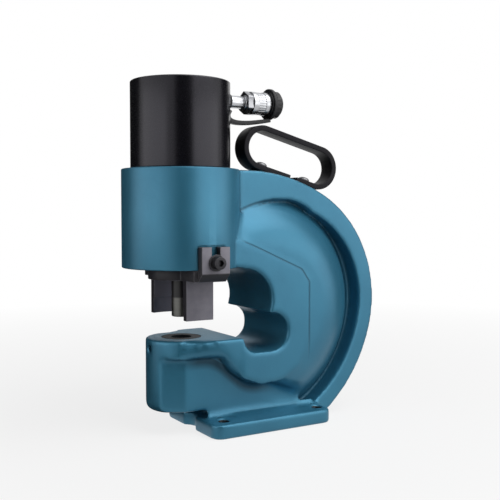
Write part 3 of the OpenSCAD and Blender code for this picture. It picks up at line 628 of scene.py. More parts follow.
bush_bore_radius = bush_radius + seat_clearance
spigot_bore_radius = spigot_radius + seat_clearance
ram_bore = turned([
    (0, housing_low_z - cut_overrun), (lip_bore_radius, housing_low_z - cut_overrun),
    (lip_bore_radius, wiper_low.z), (bush_bore_radius, wiper_low.z), (bush_bore_radius, bush_high.z),
    (spring_bore_radius, bush_high.z), (spring_bore_radius, cylinder_low.z),
    (spigot_bore_radius, cylinder_low.z), (spigot_bore_radius, housing_high_z + cut_overrun),
    (0, housing_high_z + cut_overrun)])
die_seat_radius = die_radius + seat_clearance
stud_hole_radius = stud_radius + seat_clearance
die_bore = turned([
    (0, -cut_overrun), (slug_radius, -cut_overrun), (slug_radius, die_low.z), (die_seat_radius, die_low.z),
    (die_seat_radius, die_high.z + cut_overrun), (0, die_high.z + cut_overrun)])
foot_holes = [
    laid(
        turned([
            (0, -cut_overrun), (foot_hole_radius, -cut_overrun), (foot_hole_radius, spot_face_z),
            (spot_face_radius, spot_face_z), (spot_face_radius, spot_face_z + cut_overrun),
            (0, spot_face_z + cut_overrun)]),
        (side_x * foot_hole_place[0], side_y * foot_hole_place[1], 0))
    for side_x in (-1, 1) for side_y in (-1, 1)]
stud_flats = [
    block(
        (stud_x - flat_half_w, side * flat_y, housing_low_z - cut_overrun),
        (stud_x + flat_half_w, side * (housing_radius + cut_overrun), flat_high_z))
    for side in (-1, 1)]
stud_holes = [
    laid(rod(stud_hole_radius, -stud_depth, cut_overrun), (stud_x, side * flat_y, stud_z), (0, side, 0))
    for side in (-1, 1)]
grub_hole = laid(rod(stud_hole_radius, -cut_overrun, die_radius), (grub_low.x, 0, grub_z), (1, 0, 0))
frame_bm = combined(frame_bm, laid(ram_bore, (axis_x, 0, 0)))
frame_bm = combined(frame_bm, laid(die_bore, (axis_x, 0, 0)))
for tool in stud_flats:
    frame_bm = combined(frame_bm, tool)
frame_bm = combined(frame_bm, gathered(*foot_holes, *stud_holes, grub_hole))
hand_over("frame_casting", frame_bm, "frame", blue_enamel(), "frame_paint", "c_frame")

# Cylinder: a steel tube with a closed end, turned all over and finished in black. Its spigot screws
# into the housing. A bronze bush and a rubber wiper sit below it in the housing and guide the rod.
nipple_low, nipple_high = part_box("coupler_nipple")
barrel_radius = (cylinder_high.x - cylinder_low.x) / 2
bore_radius = 40 * mm
stop_radius = 38 * mm
stop_z = 295.7 * mm
roof_z = 346 * mm
port_radius = 4 * mm
port_z = (nipple_low.z + nipple_high.z) / 2
nipple_radius = (nipple_high.z - nipple_low.z) / 2
barrel_round = 1.5 * mm
machined_edge = 0.6 * mm
rod_gap = 0.06 * mm
rod_radius = (rod_high.x - rod_low.x) / 2
rim_reach = 0.01 * mm
rubbed_spot = 4 * mm
stain_patch = 14 * mm
tool_mark = 0.5 * mm
tool_mark_depth = 0.01 * mm
black_grain_depth = 0.1 * mm
plastic_grain_depth = 0.08 * mm


def ring(outer, inner, low, high, segments=96):
    """A plain ring on the Z axis."""
    return turned([(outer, low), (outer, high), (inner, high), (inner, low)], closed=True, segments=segments)


def outer_rims(bm, radius):
    """The sharp edges at the outer radius of a piece on the Z axis."""
    return [
        edge for edge in bm.edges
        if edge.calc_face_angle(0.0) > smooth_angle
        and all(math.hypot(vert.co.x, vert.co.y) > radius - rim_reach for vert in edge.verts)]


def worn_edges(wire):
    """1 on the rounded edges of a piece, broken up, and 0 on its faces."""
    mark = wire.node("Attribute", {"attribute_name": "worn"}, output="Fac")
    return mark * spread(wire, cloud(wire, rubbed_spot), 0.30, 0.65, 0.35, 1.0)


def black_finish(name, tone, edge, gloss, speck, shine=0.32):
    """Black over steel: faint cloudy patches, rubbed paler on the edges."""
    material, wire, shader = new_finish(
        name, {"Specular IOR Level": shine, "Specular Tint": colour(0.92, 0.90, 1.0)})
    patches = spread(wire, cloud(wire, speck * 12, 3.0), 0.35, 0.65)
    dark = colour(*[part * 0.75 for part in tone])
    face = blend_colours(wire, patches, dark, colour(*tone))
    blend_colours(wire, worn_edges(wire) * 0.7, face, colour(*edge)).feed(shader, "Base Color")
    spread(wire, cloud(wire, speck, 3.0), 0.3, 0.7, gloss - 0.05, gloss + 0.06).feed(shader, "Roughness")
    bump(wire, shader, cloud(wire, speck, 2.0), 0.12, black_grain_depth)
    return material


def bare_metal(name, tone, gloss, grain=(1.0, 1.0, 1.0)):
    """Bare or plated metal with fine tool marks, which run across the axis that grain makes largest."""
    material, wire, shader = new_finish(name, {"Metallic": 1.0})
    marks = cloud(wire, tool_mark, 3.0, grain)
    stains = spread(wire, cloud(wire, stain_patch, 4.0), 0.35, 0.7)
    dull = colour(*[part * 0.72 for part in tone])
    face = blend_colours(wire, stains, colour(*tone), dull)
    bright = colour(*[min(part * 1.5, 0.9) for part in tone])
    blend_colours(wire, worn_edges(wire) * 0.5, face, bright).feed(shader, "Base Color")
    (spread(wire, marks, 0.3, 0.7, gloss - 0.07, gloss + 0.07) + stains * 0.06).feed(shader, "Roughness")
    bump(wire, shader, marks, 0.15, tool_mark_depth)
    return material


def soft_plastic(name, tone, gloss, speck):
    """Moulded rubber or plastic with a fine matt grain and a bloom of pale dust."""
    material, wire, shader = new_finish(name, {"Specular IOR Level": 0.30})
    bloom = spread(wire, cloud(wire, speck * 25, 4.0), 0.40, 0.75)
    pale = colour(*[part * 1.7 + 0.004 for part in tone])
    blend_colours(wire, bloom * 0.6, colour(*tone), pale).feed(shader, "Base Color")
    spread(wire, cloud(wire, speck * 6), 0.3, 0.7, gloss - 0.06, gloss + 0.06).feed(shader, "Roughness")
    bump(wire, shader, cloud(wire, speck, 2.0), 0.2, plastic_grain_depth)
    return material


cylinder_bm = turned([
    (0, cylinder_high.z), (barrel_radius, cylinder_high.z), (barrel_radius, housing_high_z),
    (spigot_radius, housing_high_z), (spigot_radius, cylinder_low.z), (stop_radius, cylinder_low.z),
    (stop_radius, stop_z), (bore_radius, stop_z), (bore_radius, roof_z), (0, roof_z)], segments=128)
soften(cylinder_bm, barrel_round, 4, outer_rims(cylinder_bm, barrel_radius))
laid(cylinder_bm, (axis_x, 0, 0))
nipple_hole_radius = nipple_radius + seat_clearance
port = turned([
    (0, 0), (port_radius, 0), (port_radius, nipple_low.x - axis_x),
    (nipple_hole_radius, nipple_low.x - axis_x), (nipple_hole_radius, barrel_radius + cut_overrun),
    (0, barrel_radius + cut_overrun)], segments=48)
cylinder_bm = combined(cylinder_bm, laid(port, (axis_x, 0, port_z), (1, 0, 0)))
cylinder_bm = combined(cylinder_bm, laid(rod(port_radius, roof_z - cut_overrun, port_z, 48), (axis_x, 0, 0)))
cylinder_black = black_finish(
    "cylinder_black", (0.0055, 0.0053, 0.0075), (0.03, 0.03, 0.034), gloss=0.24, speck=0.6 * mm, shine=0.36)
hand_over("cylinder_barrel", cylinder_bm, "frame", cylinder_black, "cylinder_black", "hydraulic_cylinder")

upright_rings = (0.02, 0.02, 1.0)
bush_bm = soften(ring(bush_radius, rod_radius + rod_gap, bush_low.z, bush_high.z), machined_edge)
bronze = bare_metal("turned_bronze", (0.55, 0.38, 0.16), gloss=0.30, grain=upright_rings)
hand_over("rod_bush", laid(bush_bm, (axis_x, 0, 0)), "frame", bronze, "bronze", "guide_bush")
wiper_bm = soften(ring(bush_radius, rod_radius + rod_gap, wiper_low.z, wiper_high.z), machined_edge)
seal_rubber = soft_plastic("seal_rubber", (0.02, 0.02, 0.022), gloss=0.50, speck=0.5 * mm)
hand_over("wiper_ring", laid(wiper_bm, (axis_x, 0, 0)), "frame", seal_rubber, "seal_rubber", "rod_wiper")

# Ram: a ground rod with a piston screwed on top, sealed and guided by two rings in its grooves.
# Oil drives it down, and a coil spring between the bush and the piston lifts it again.
# A cap nut on the tail of the rod clamps the punch, which is hardened tool steel.
piston_low, piston_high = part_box("piston")
seal_low, seal_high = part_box("piston_seal")
band_low, band_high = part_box("piston_wear_ring")
screw_low, screw_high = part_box("piston_screw")
punch_low, punch_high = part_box("punch")
nut_low, nut_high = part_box("punch_nut")
spring_low, spring_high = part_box("return_spring")
piston_radius = (piston_high.x - piston_low.x) / 2
seal_radius = (seal_high.x - seal_low.x) / 2
groove_radius = piston_radius - 4 * mm
pin_radius = 16 * mm
pin_high_z = 337 * mm
tail_radius = 17 * mm
tail_shoulder_z = nut_high.z
screw_radius = 5 * mm
screw_head_radius = (screw_high.x - screw_low.x) / 2
screw_head_h = 6 * mm
screw_key_radius = 3.6 * mm
screw_key_depth = 4 * mm
nut_radius = (nut_high.x - nut_low.x) / 2
punch_head_radius = (punch_high.x - punch_low.x) / 2
punch_head_z = 168.6 * mm
punch_radius = 10.25 * mm
punch_edge = 0.8 * mm
punch_ground_z = (punch_low.z + 21 * mm, punch_low.z + 20 * mm)
wire_radius = 3.5 * mm
spring_turns = 8


def wound(radius, wire, low, high, turns, steps=32, sides=14):
    """A round wire wound about the Z axis, with both ends closed."""
    bm = bmesh.new()
    bmesh.ops.create_circle(bm, segments=sides, radius=wire)
    bmesh.ops.rotate(bm, matrix=Matrix.Rotation(math.pi / 2, 3, "X"), verts=bm.verts)
    bmesh.ops.translate(bm, vec=(radius, 0, low), verts=bm.verts)
    rise = (high - low) / (turns * steps)
    bmesh.ops.spin(
        bm, geom=bm.verts[:] + bm.edges[:], cent=(0, 0, 0), axis=(0, 0, 1), dvec=(0, 0, rise),
        angle=2 * math.pi * turns, steps=turns * steps)
    bmesh.ops.holes_fill(bm, edges=[edge for edge in bm.edges if edge.is_boundary], sides=sides)
    bmesh.ops.recalc_face_normals(bm, faces=bm.faces)
    return bm


def key_socket(radius, low, high):
    """The six-sided hole for a key, on the Z axis."""
    return rod(radius, low, high, 6)


def ground_tip():
    """Tool steel, black above the tip from hardening and as painted shade, with the end that cuts ground
    bright.
    """
    material, wire, shader = new_finish("tool_steel", {"Specular IOR Level": 0.3})
    ground = spread(wire, object_part(wire, "Z"), *punch_ground_z)
    marks = cloud(wire, tool_mark, 3.0, (0.05, 0.05, 1.0))
    bright = blend_colours(wire, marks, colour(0.070, 0.070, 0.066), colour(0.125, 0.125, 0.118))
    blend_colours(wire, ground, colour(0.014, 0.014, 0.015), bright).feed(shader, "Base Color")
    ground.feed(shader, "Metallic")
    spread(wire, marks, 0.3, 0.7, 0.30, 0.42).feed(shader, "Roughness")
    bump(wire, shader, marks, 0.15, tool_mark_depth)
    return material


spring_bm = wound(
    (spring_high.x - spring_low.x) / 2 - wire_radius, wire_radius,
    spring_low.z + wire_radius, spring_high.z - wire_radius, spring_turns)
spring_steel = bare_metal("spring_steel", (0.30, 0.31, 0.33), gloss=0.35)
spring_piece = hand_over(
    "return_coil", laid(spring_bm, (axis_x, 0, 0)), "frame", spring_steel, "spring_steel", "return_spring")
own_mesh(spring_piece)

screw_hole_radius = screw_radius + seat_clearance
head_hole_radius = screw_head_radius + seat_clearance
pin_hole_radius = pin_radius + seat_clearance
piston_bm = soften(turned([
    (pin_hole_radius, piston_low.z), (piston_radius, piston_low.z), (piston_radius, band_low.z),
    (groove_radius, band_low.z), (groove_radius, band_high.z), (piston_radius, band_high.z),
    (piston_radius, seal_low.z), (groove_radius, seal_low.z), (groove_radius, seal_high.z),
    (piston_radius, seal_high.z), (piston_radius, piston_high.z), (head_hole_radius, piston_high.z),
    (head_hole_radius, piston_high.z - screw_head_h), (screw_hole_radius, piston_high.z - screw_head_h),
    (screw_hole_radius, pin_high_z), (pin_hole_radius, pin_high_z)], closed=True), machined_edge)
ground_steel = bare_metal("ground_steel", (0.55, 0.56, 0.58), gloss=0.22, grain=upright_rings)
hand_over("piston_disc", laid(piston_bm, (axis_x, 0, 0)), "ram", ground_steel, "ground_steel", "piston")
ring_inner_radius = groove_radius + seat_clearance
seal_bm = soften(ring(seal_radius, ring_inner_radius, seal_low.z, seal_high.z), machined_edge)
hand_over("piston_lip_seal", laid(seal_bm, (axis_x, 0, 0)), "ram", seal_rubber, "seal_rubber", "piston_seal")
band_bm = soften(ring(seal_radius, ring_inner_radius, band_low.z, band_high.z), machined_edge)
wear_plastic = soft_plastic("wear_plastic", (0.20, 0.06, 0.03), gloss=0.45, speck=0.4 * mm)
hand_over(
    "piston_band", laid(band_bm, (axis_x, 0, 0)), "ram", wear_plastic, "wear_plastic", "piston_wear_ring")

piston_screw_bm = soften(turned([
    (0, screw_low.z), (screw_radius, screw_low.z), (screw_radius, screw_high.z - screw_head_h),
    (screw_head_radius, screw_high.z - screw_head_h), (screw_head_radius, screw_high.z), (0, screw_high.z)]),
    machined_edge)
piston_screw_bm = combined(
    piston_screw_bm,
    key_socket(screw_key_radius, screw_high.z - screw_key_depth, screw_high.z + cut_overrun))
black_oxide = black_finish(
    "black_oxide", (0.020, 0.020, 0.022), (0.16, 0.16, 0.17), gloss=0.33, speck=0.8 * mm)
hand_over(
    "piston_cap_screw", laid(piston_screw_bm, (axis_x, 0, 0)),
    "ram", black_oxide, "black_oxide", "piston_screw")
rod_bm = soften(turned([
    (0, rod_low.z), (tail_radius, rod_low.z), (tail_radius, tail_shoulder_z), (rod_radius, tail_shoulder_z),
    (rod_radius, piston_low.z), (pin_radius, piston_low.z), (pin_radius, pin_high_z),
    (screw_hole_radius, pin_high_z), (screw_hole_radius, screw_low.z), (0, screw_low.z)]), machined_edge)
hand_over("ram_bar", laid(rod_bm, (axis_x, 0, 0)), "ram", ground_steel, "ground_steel", "ram_rod")

nut_bm = soften(turned([
    (nut_radius, nut_low.z), (nut_radius, nut_high.z), (tail_radius + seat_clearance, nut_high.z),
    (tail_radius + seat_clearance, punch_head_z), (punch_radius + seat_clearance, punch_head_z),
    (punch_radius + seat_clearance, nut_low.z)], closed=True), machined_edge)
hand_over("punch_cap_nut", laid(nut_bm, (axis_x, 0, 0)), "ram", black_oxide, "black_oxide", "punch_nut")
punch_bm = turned([
    (0, punch_low.z), (punch_radius - punch_edge, punch_low.z), (punch_radius, punch_low.z + punch_edge),
    (punch_radius, punch_head_z), (punch_head_radius, punch_head_z), (punch_head_radius, punch_high.z),
    (0, punch_high.z)])
hand_over("punch_pin", laid(punch_bm, (axis_x, 0, 0)), "ram", ground_tip(), "tool_steel", "punch")

# Stripper: a dark steel yoke round the punch. Its two legs hold the work down while the punch
# lifts out; its two slotted ears hang on socket screws with washers in the sides of the housing.
yoke_edge = 1.0 * mm
flat_angle = math.radians(2)
yoke_leg_z = (164.1 * mm, 163.1 * mm)
yoke_ear_z = (171.6 * mm, 172.6 * mm)
yoke_leg_y = (43.6 * mm, 44.1 * mm)
yoke_ear_y = (69.1 * mm, 69.6 * mm)
grind_mark = 0.6 * mm
grind_patch = 11 * mm
grind_depth = 0.05 * mm
washers_low, washers_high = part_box("stripper_washers")
washer_radius = (washers_high.x - washers_low.x) / 2
washer_t = 1.6 * mm
washer_y = washers_high.y - washer_t
bolt_head_radius = (bolts_high.x - bolts_low.x) / 2
bolt_head_h = bolts_high.y - washers_high.y
bolt_shank_l = washers_high.y - flat_y + stud_depth
knurl_count = 24
knurl_depth = 0.35 * mm


def flute(bm, radius, low, high, count, depth):
    """Presses grooves into the round wall of that radius, between two heights."""
    for vert in bm.verts:
        reach = math.hypot(vert.co.x, vert.co.y)
        if abs(reach - radius) < depth / 4 and low <= vert.co.z <= high:
            dip = depth * (1 - math.cos(count * math.atan2(vert.co.y, vert.co.x))) / 2
            vert.co.x *= 1 - dip / reach
            vert.co.y *= 1 - dip / reach
    return bm


def mirrored_y(make):
    """The same piece on both sides of the frame."""
    near, far = make(), make()
    bmesh.ops.scale(far, vec=(1, -1, 1), verts=far.verts)
    bmesh.ops.reverse_faces(far, faces=far.faces)
    return gathered(near, far)


def ground_over_black():
    """Phosphated steel, ground to a dull grey on the legs and the outer faces of the ears; near black on the
    plate and the legs' sides, black oxide deepened as painted shade, and paler on the legs' walls facing
    along Y as painted light.
    """
    material, wire, shader = new_finish("stripper_steel", {"Specular IOR Level": 0.25})
    side, level = abs(object_part(wire, "Y")), object_part(wire, "Z")
    leg_high = spread(wire, level, *yoke_leg_z)
    on_leg = spread(wire, side, *yoke_leg_y) * leg_high
    on_ear = spread(wire, side, *yoke_ear_y) * spread(wire, level, *yoke_ear_z)
    grind = cloud(wire, grind_mark, 3.0, (1.0, 1.0, 0.04))
    patches = spread(wire, cloud(wire, grind_patch, 3.0), 0.35, 0.65)
    pale = colour(0.315, 0.304, 0.350)
    grey = blend_colours(wire, patches * 0.6 + grind * 0.4, colour(0.235, 0.228, 0.268), pale)
    # Painted light: leg walls facing along Y are paler; the plate and the legs' sides facing along X stay
    # near black, black oxide deepened as painted shade.
    leg_wall_painted_light = spread(wire, abs(normal_part(wire, "Y")), 0.6, 0.8) * leg_high
    tone = blend_colours(wire, leg_wall_painted_light, colour(0.030, 0.028, 0.034), colour(0.210, 0.198, 0.240))
    tone = blend_colours(wire, wire.math("MAXIMUM", on_leg, on_ear), tone, grey)
    blend_colours(wire, worn_edges(wire) * 0.5, tone, colour(0.24, 0.235, 0.255)).feed(shader, "Base Color")
    spread(wire, grind, 0.3, 0.7, 0.38, 0.50).feed(shader, "Roughness")
    bump(wire, shader, grind + patches * 0.5, 0.15, grind_depth)
    return material


def socket_bolt():
    """A socket-head screw in the near side of the housing, with a knurled head."""
    bolt = turned([
        (0, -bolt_shank_l), (stud_radius, -bolt_shank_l), (stud_radius, 0), (bolt_head_radius, 0),
        (bolt_head_radius, bolt_head_h), (0, bolt_head_h)], segments=knurl_count * 4)
    soften(bolt, machined_edge, 2)
    flute(bolt, bolt_head_radius, 0, bolt_head_h, knurl_count, knurl_depth)
    socket = key_socket(screw_key_radius, bolt_head_h - screw_key_depth, bolt_head_h + cut_overrun)
    bolt = combined(bolt, socket)
    return laid(bolt, (stud_x, washers_high.y, stud_z), (0, 1, 0))


def bolt_washer():
    """A flat washer in the near side of the housing, round the screw."""
    washer = soften(ring(washer_radius, stud_hole_radius, 0, washer_t, 64), washer_t / 5)
    return laid(washer, (stud_x, washer_y, stud_z), (0, 1, 0))


yoke_bm = cad_copy("stripper_yoke")
bmesh.ops.dissolve_limit(yoke_bm, angle_limit=flat_angle, verts=yoke_bm.verts, edges=yoke_bm.edges)
soften(yoke_bm, yoke_edge, 2)
stripper_steel = ground_over_black()
hand_over("stripper_fork", yoke_bm, "stripper", stripper_steel, "stripper_steel", "stripper_yoke")
hand_over("stripper_screws", mirrored_y(socket_bolt), "frame", black_oxide, "black_oxide", "stripper_bolts")
hand_over("stripper_discs", mirrored_y(bolt_washer), "frame", black_oxide, "black_oxide", "stripper_washers")

# Die: a hardened steel bush in the anvil, with a sharp ground top and a wider relief below,
# so that the slugs drop freely. A grub screw through the nose of the anvil holds it.
die_hole_radius = 10.85 * mm
die_relief_radius = 12.05 * mm
die_land = 10 * mm
die_chamfer = 0.8 * mm
grub_radius = (grub_high.z - grub_low.z) / 2
grub_key_radius = 2.34 * mm
die_bm = turned([
    (die_hole_radius + die_chamfer / 2, die_high.z), (die_radius - die_chamfer, die_high.z),
    (die_radius, die_high.z - die_chamfer), (die_radius, die_low.z), (die_relief_radius, die_low.z),
    (die_relief_radius, die_high.z - die_land), (die_hole_radius, die_high.z - die_land),
    (die_hole_radius, die_high.z - die_chamfer / 2)], closed=True)
die_steel = black_finish(
    "die_steel", (0.018, 0.022, 0.026), (0.05, 0.055, 0.06), gloss=0.52, speck=0.8 * mm, shine=0.05)
hand_over("die_bush", laid(die_bm, (axis_x, 0, 0)), "frame", die_steel, "tool_steel", "die")
grub_bm = soften(rod(grub_radius, 0, grub_high.x - grub_low.x, 48), machined_edge)
grub_bm = combined(grub_bm, key_socket(grub_key_radius, -cut_overrun, screw_key_depth))
hand_over(
    "die_grub_screw", laid(grub_bm, (grub_low.x, 0, grub_z), (1, 0, 0)),
    "frame", black_oxide, "black_oxide", "die_set_screw")

# Hose coupler: a plated nipple in the cylinder port, a sealing washer and the female half of a quick
# coupling. Its knurled collar turns on the body, and a sprung poppet shuts it when no hose is on.
body_low, body_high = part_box("coupler_body")
collar_low, collar_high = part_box("coupler_collar")
poppet_low, poppet_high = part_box("coupler_poppet")
coil_low, coil_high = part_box("poppet_spring")
seal_washer_low, seal_washer_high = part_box("nipple_washer")
hex_end_x = body_low.x + 7 * mm
body_radius = 9.6 * mm
body_bore_radius = 6.4 * mm
chamber_x = poppet_low.x - 21.4 * mm
mouth_x = poppet_low.x + 5.4 * mm
mouth_radius = 5 * mm
nipple_bore_radius = 3 * mm
nipple_thread_radius = 5 * mm
hex_radius = (body_high.y - body_low.y) / 2 / math.cos(math.pi / 6)
collar_radius = (collar_high.y - collar_low.y) / 2
collar_waist = 0.4 * mm
collar_knurl_x = (collar_low.x + 6.5 * mm, collar_low.x + 15.5 * mm)
collar_knurl_count = 28
poppet_stem_radius = 2.4 * mm
poppet_disc_t = 5 * mm
coil_wire_radius = 0.7 * mm
coil_turns = 4
across_rings = (1.0, 0.02, 0.02)


def on_port(outline, closed=False, segments=96):
    """A piece turned round the axis of the hose port, from (radius, X) corners."""
    return laid(turned(outline, closed, segments), (0, 0, port_z), (1, 0, 0))


nipple_bm = soften(on_port([
    (nipple_radius, nipple_low.x), (nipple_radius, body_low.x), (nipple_thread_radius, body_low.x),
    (nipple_thread_radius, nipple_high.x), (nipple_bore_radius, nipple_high.x),
    (nipple_bore_radius, nipple_low.x)], closed=True), machined_edge)
zinc_plate = bare_metal("zinc_plate", (0.54, 0.55, 0.57), gloss=0.24, grain=across_rings)
hand_over("hose_nipple", nipple_bm, "frame", zinc_plate, "zinc_plate", "coupler_nipple")
seal_washer_radius = (seal_washer_high.y - seal_washer_low.y) / 2
seal_washer_bm = on_port([
    (seal_washer_radius, seal_washer_low.x), (seal_washer_radius, seal_washer_high.x),
    (nipple_hole_radius, seal_washer_high.x), (nipple_hole_radius, seal_washer_low.x)], closed=True)
hand_over("sealing_washer", seal_washer_bm, "frame", zinc_plate, "zinc_plate", "nipple_washer")

thread_hole_radius = nipple_thread_radius + seat_clearance
body_bm = on_port([
    (thread_hole_radius, body_low.x), (body_radius, body_low.x), (body_radius, body_high.x),
    (mouth_radius, body_high.x), (mouth_radius, mouth_x), (body_bore_radius, mouth_x),
    (body_bore_radius, chamber_x), (thread_hole_radius, chamber_x)], closed=True)
hex_bm = combined(
    laid(rod(hex_radius, body_low.x, hex_end_x, 6), (0, 0, port_z), (1, 0, 0)),
    laid(rod(nipple_radius, body_low.x - cut_overrun, hex_end_x + cut_overrun), (0, 0, port_z), (1, 0, 0)))
body_bm = combined(body_bm, soften(hex_bm, machined_edge), "UNION")
dark_chrome = bare_metal("dark_chrome", (0.32, 0.325, 0.34), gloss=0.20, grain=across_rings)
hand_over("coupling_body", body_bm, "frame", dark_chrome, "zinc_plate", "coupler_body")

collar_rib_radius = collar_radius - collar_waist
sliding_hole_radius = body_radius + rod_gap
collar_bm = turned([
    (collar_radius, collar_low.x), (collar_radius, collar_knurl_x[0]), (collar_rib_radius, collar_knurl_x[0]),
    (collar_rib_radius, collar_knurl_x[1]), (collar_radius, collar_knurl_x[1]),
    (collar_radius, collar_high.x), (sliding_hole_radius, collar_high.x),
    (sliding_hole_radius, collar_low.x)],
    closed=True, segments=collar_knurl_count * 6)
flute(collar_bm, collar_rib_radius, collar_knurl_x[0], collar_knurl_x[1], collar_knurl_count, machined_edge)
soften(collar_bm, machined_edge, 2, outer_rims(collar_bm, collar_radius))
hand_over(
    "coupling_collar", laid(collar_bm, (0, 0, port_z), (1, 0, 0)),
    "collar", zinc_plate, "zinc_plate", "coupler_collar")

poppet_radius = (poppet_high.y - poppet_low.y) / 2
poppet_bm = soften(on_port([
    (0, poppet_low.x), (poppet_radius, poppet_low.x), (poppet_radius, poppet_low.x + poppet_disc_t),
    (poppet_stem_radius, poppet_low.x + poppet_disc_t), (poppet_stem_radius, poppet_high.x),
    (0, poppet_high.x)]), machined_edge)
hand_over("check_poppet", poppet_bm, "poppet", zinc_plate, "zinc_plate", "coupler_poppet")
coil_bm = wound(
    (coil_high.y - coil_low.y) / 2 - coil_wire_radius, coil_wire_radius,
    coil_low.x + coil_wire_radius, coil_high.x - coil_wire_radius, coil_turns)
coil_piece = hand_over(
    "poppet_coil", laid(coil_bm, (0, 0, port_z), (1, 0, 0)),
    "frame", spring_steel, "spring_steel", "poppet_spring")
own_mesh(coil_piece)

# Dust cap: a moulded black cap with a ribbed grip, pushed over the mouth of the coupling.
# A rubber strap keeps it: one eye sits in the groove of the cap, the other round the nipple.
cap_low, cap_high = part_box("dust_cap")
tether_low, tether_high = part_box("cap_tether")
cap_radius = (cap_high.y - cap_low.y) / 2
cap_rib_depth = 0.5 * mm
cap_flange_t = 0.7 * mm
cap_groove_radius = cap_radius - 1.0 * mm
cap_groove_x = cap_low.x + 1.0 * mm
cap_grip_x = cap_low.x + 5.3 * mm
cap_rib_count = 20
cap_round = 2.6 * mm
cap_gap = 0.4 * mm
cap_hole_x = body_high.x + cap_gap
cap_eye_radius = (tether_high.y - tether_low.y) / 2
cap_eye_t = 4 * mm
nipple_eye_x = axis_x + barrel_radius + 3.2 * mm
nipple_eye_w = 6 * mm
strap_t = 4.5 * mm
strap_w = 9 * mm
strap_steps = 24
strap_edge = 0.7 * mm
strap_lead = 14 * mm
strap_sag = 21 * mm
nipple_eye_wall = 1.5 * mm
nipple_eye_slim = 3 * mm

cap_bm = turned([
    (sliding_hole_radius, cap_low.x), (cap_radius, cap_low.x), (cap_radius, cap_low.x + cap_flange_t),
    (cap_groove_radius, cap_low.x + cap_flange_t), (cap_groove_radius, cap_grip_x), (cap_radius, cap_grip_x),
    (cap_radius, cap_high.x - cap_round), (cap_radius - cap_rib_depth, cap_high.x - cap_round),
    (cap_radius - cap_round, cap_high.x), (0, cap_high.x), (0, cap_hole_x),
    (sliding_hole_radius, cap_hole_x)],
    closed=True, segments=cap_rib_count * 6)
flute(cap_bm, cap_radius, cap_grip_x, cap_high.x - cap_round, cap_rib_count, cap_rib_depth)
cap_plastic = soft_plastic("cap_plastic", (0.016, 0.016, 0.018), gloss=0.38, speck=0.5 * mm)
hand_over(
    "plastic_cap", laid(cap_bm, (0, 0, port_z), (1, 0, 0)), "cap", cap_plastic, "cap_plastic", "dust_cap")

strap_start = Vector((nipple_eye_x + nipple_eye_w / 2, 0, port_z - nipple_radius - strap_t / 2))
strap_end = Vector((cap_groove_x + cap_eye_t / 2, 0, port_z - cap_radius - cap_gap - strap_t / 2))
strap_pull = strap_start - Vector((strap_lead, 0, strap_sag))
tether_bm = bmesh.new()
bmesh.ops.create_grid(tether_bm, x_segments=strap_steps, y_segments=1, size=0.5)
flat_strap = bmesh.ops.extrude_face_region(tether_bm, geom=tether_bm.faces[:])["geom"]
strap_top = [part for part in flat_strap if isinstance(part, bmesh.types.BMVert)]
bmesh.ops.translate(tether_bm, vec=(0, 0, 1), verts=strap_top)
for vert in tether_bm.verts:
    share, side, level = vert.co.x + 0.5, vert.co.y, vert.co.z - 0.5
    middle = strap_start * (1 - share) ** 2 + strap_pull * 2 * share * (1 - share) + strap_end * share ** 2
    run = (strap_pull - strap_start) * (1 - share) + (strap_end - strap_pull) * share
    lift = run.normalized().cross(Vector((0, 1, 0)))
    vert.co = middle + Vector((0, side * strap_w, 0)) - lift * level * strap_t
bmesh.ops.recalc_face_normals(tether_bm, faces=tether_bm.faces)
soften(tether_bm, strap_edge, 2)
nipple_eye_radius = nipple_radius + nipple_eye_wall
nipple_eye = on_port([
    (nipple_eye_radius, nipple_eye_x), (nipple_eye_radius, nipple_eye_x + nipple_eye_slim),
    (nipple_hole_radius, nipple_eye_x + nipple_eye_slim), (nipple_hole_radius, nipple_eye_x)], closed=True)
cap_eye = on_port([
    (cap_eye_radius, cap_groove_x), (cap_eye_radius, cap_groove_x + cap_eye_t),
    (cap_groove_radius + strap_edge / 2, cap_groove_x + cap_eye_t),
    (cap_groove_radius + strap_edge / 2, cap_groove_x)], closed=True)
tether_bm = combined(tether_bm, soften(nipple_eye, strap_edge), "UNION")
tether_bm = combined(tether_bm, soften(cap_eye, strap_edge), "UNION")
tether_rubber = soft_plastic("tether_rubber", (0.018, 0.018, 0.020), gloss=0.48, speck=0.6 * mm)
hand_over("rubber_strap", tether_bm, "frame", tether_rubber, "tether_rubber", "cap_tether")

# Carrying handle: a flat steel strap bent into a long loop and powder coated black. Its two ends
# meet on a milled seat on the back of the frame, where button-head screws and washers hold them.
handle_low, handle_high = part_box("carry_handle")
handle_radius = 25 * mm
band_t = 6.2 * mm
band_edge = 1.0 * mm
bend_steps = 32
handle_bend = (handle_low.x + handle_radius, 0, handle_high.z - handle_radius)
handle_run = handle_high.x - handle_low.x - 2 * handle_radius
handle_drop = handle_high.z - handle_low.z - 2 * handle_radius
handle_slope = math.atan2(handle_drop, handle_run)
handle_length = math.hypot(handle_run, handle_drop)
gap_start_share = 0.55
gap_end_share = 0.66
screw_shares = (0.1, 0.87)
handle_screw_l = 22 * mm
handle_screw_radius = 4 * mm
handle_head_radius = 6.5 * mm
handle_head_h = 3.4 * mm
handle_head_wall = 1.2 * mm
shoulder_radius_share = 0.82
shoulder_h_share = 0.78
handle_washer_radius = 7.2 * mm
handle_washer_t = 1.2 * mm
handle_key_depth = 2 * mm


def pushed(bm, edges, way):
    """Extrudes a ring of edges by way, and gives its new place."""
    made = bmesh.ops.extrude_edge_only(bm, edges=edges)["geom"]
    bmesh.ops.translate(bm, vec=way, verts=[part for part in made if isinstance(part, bmesh.types.BMVert)])
    return [part for part in made if isinstance(part, bmesh.types.BMEdge)]


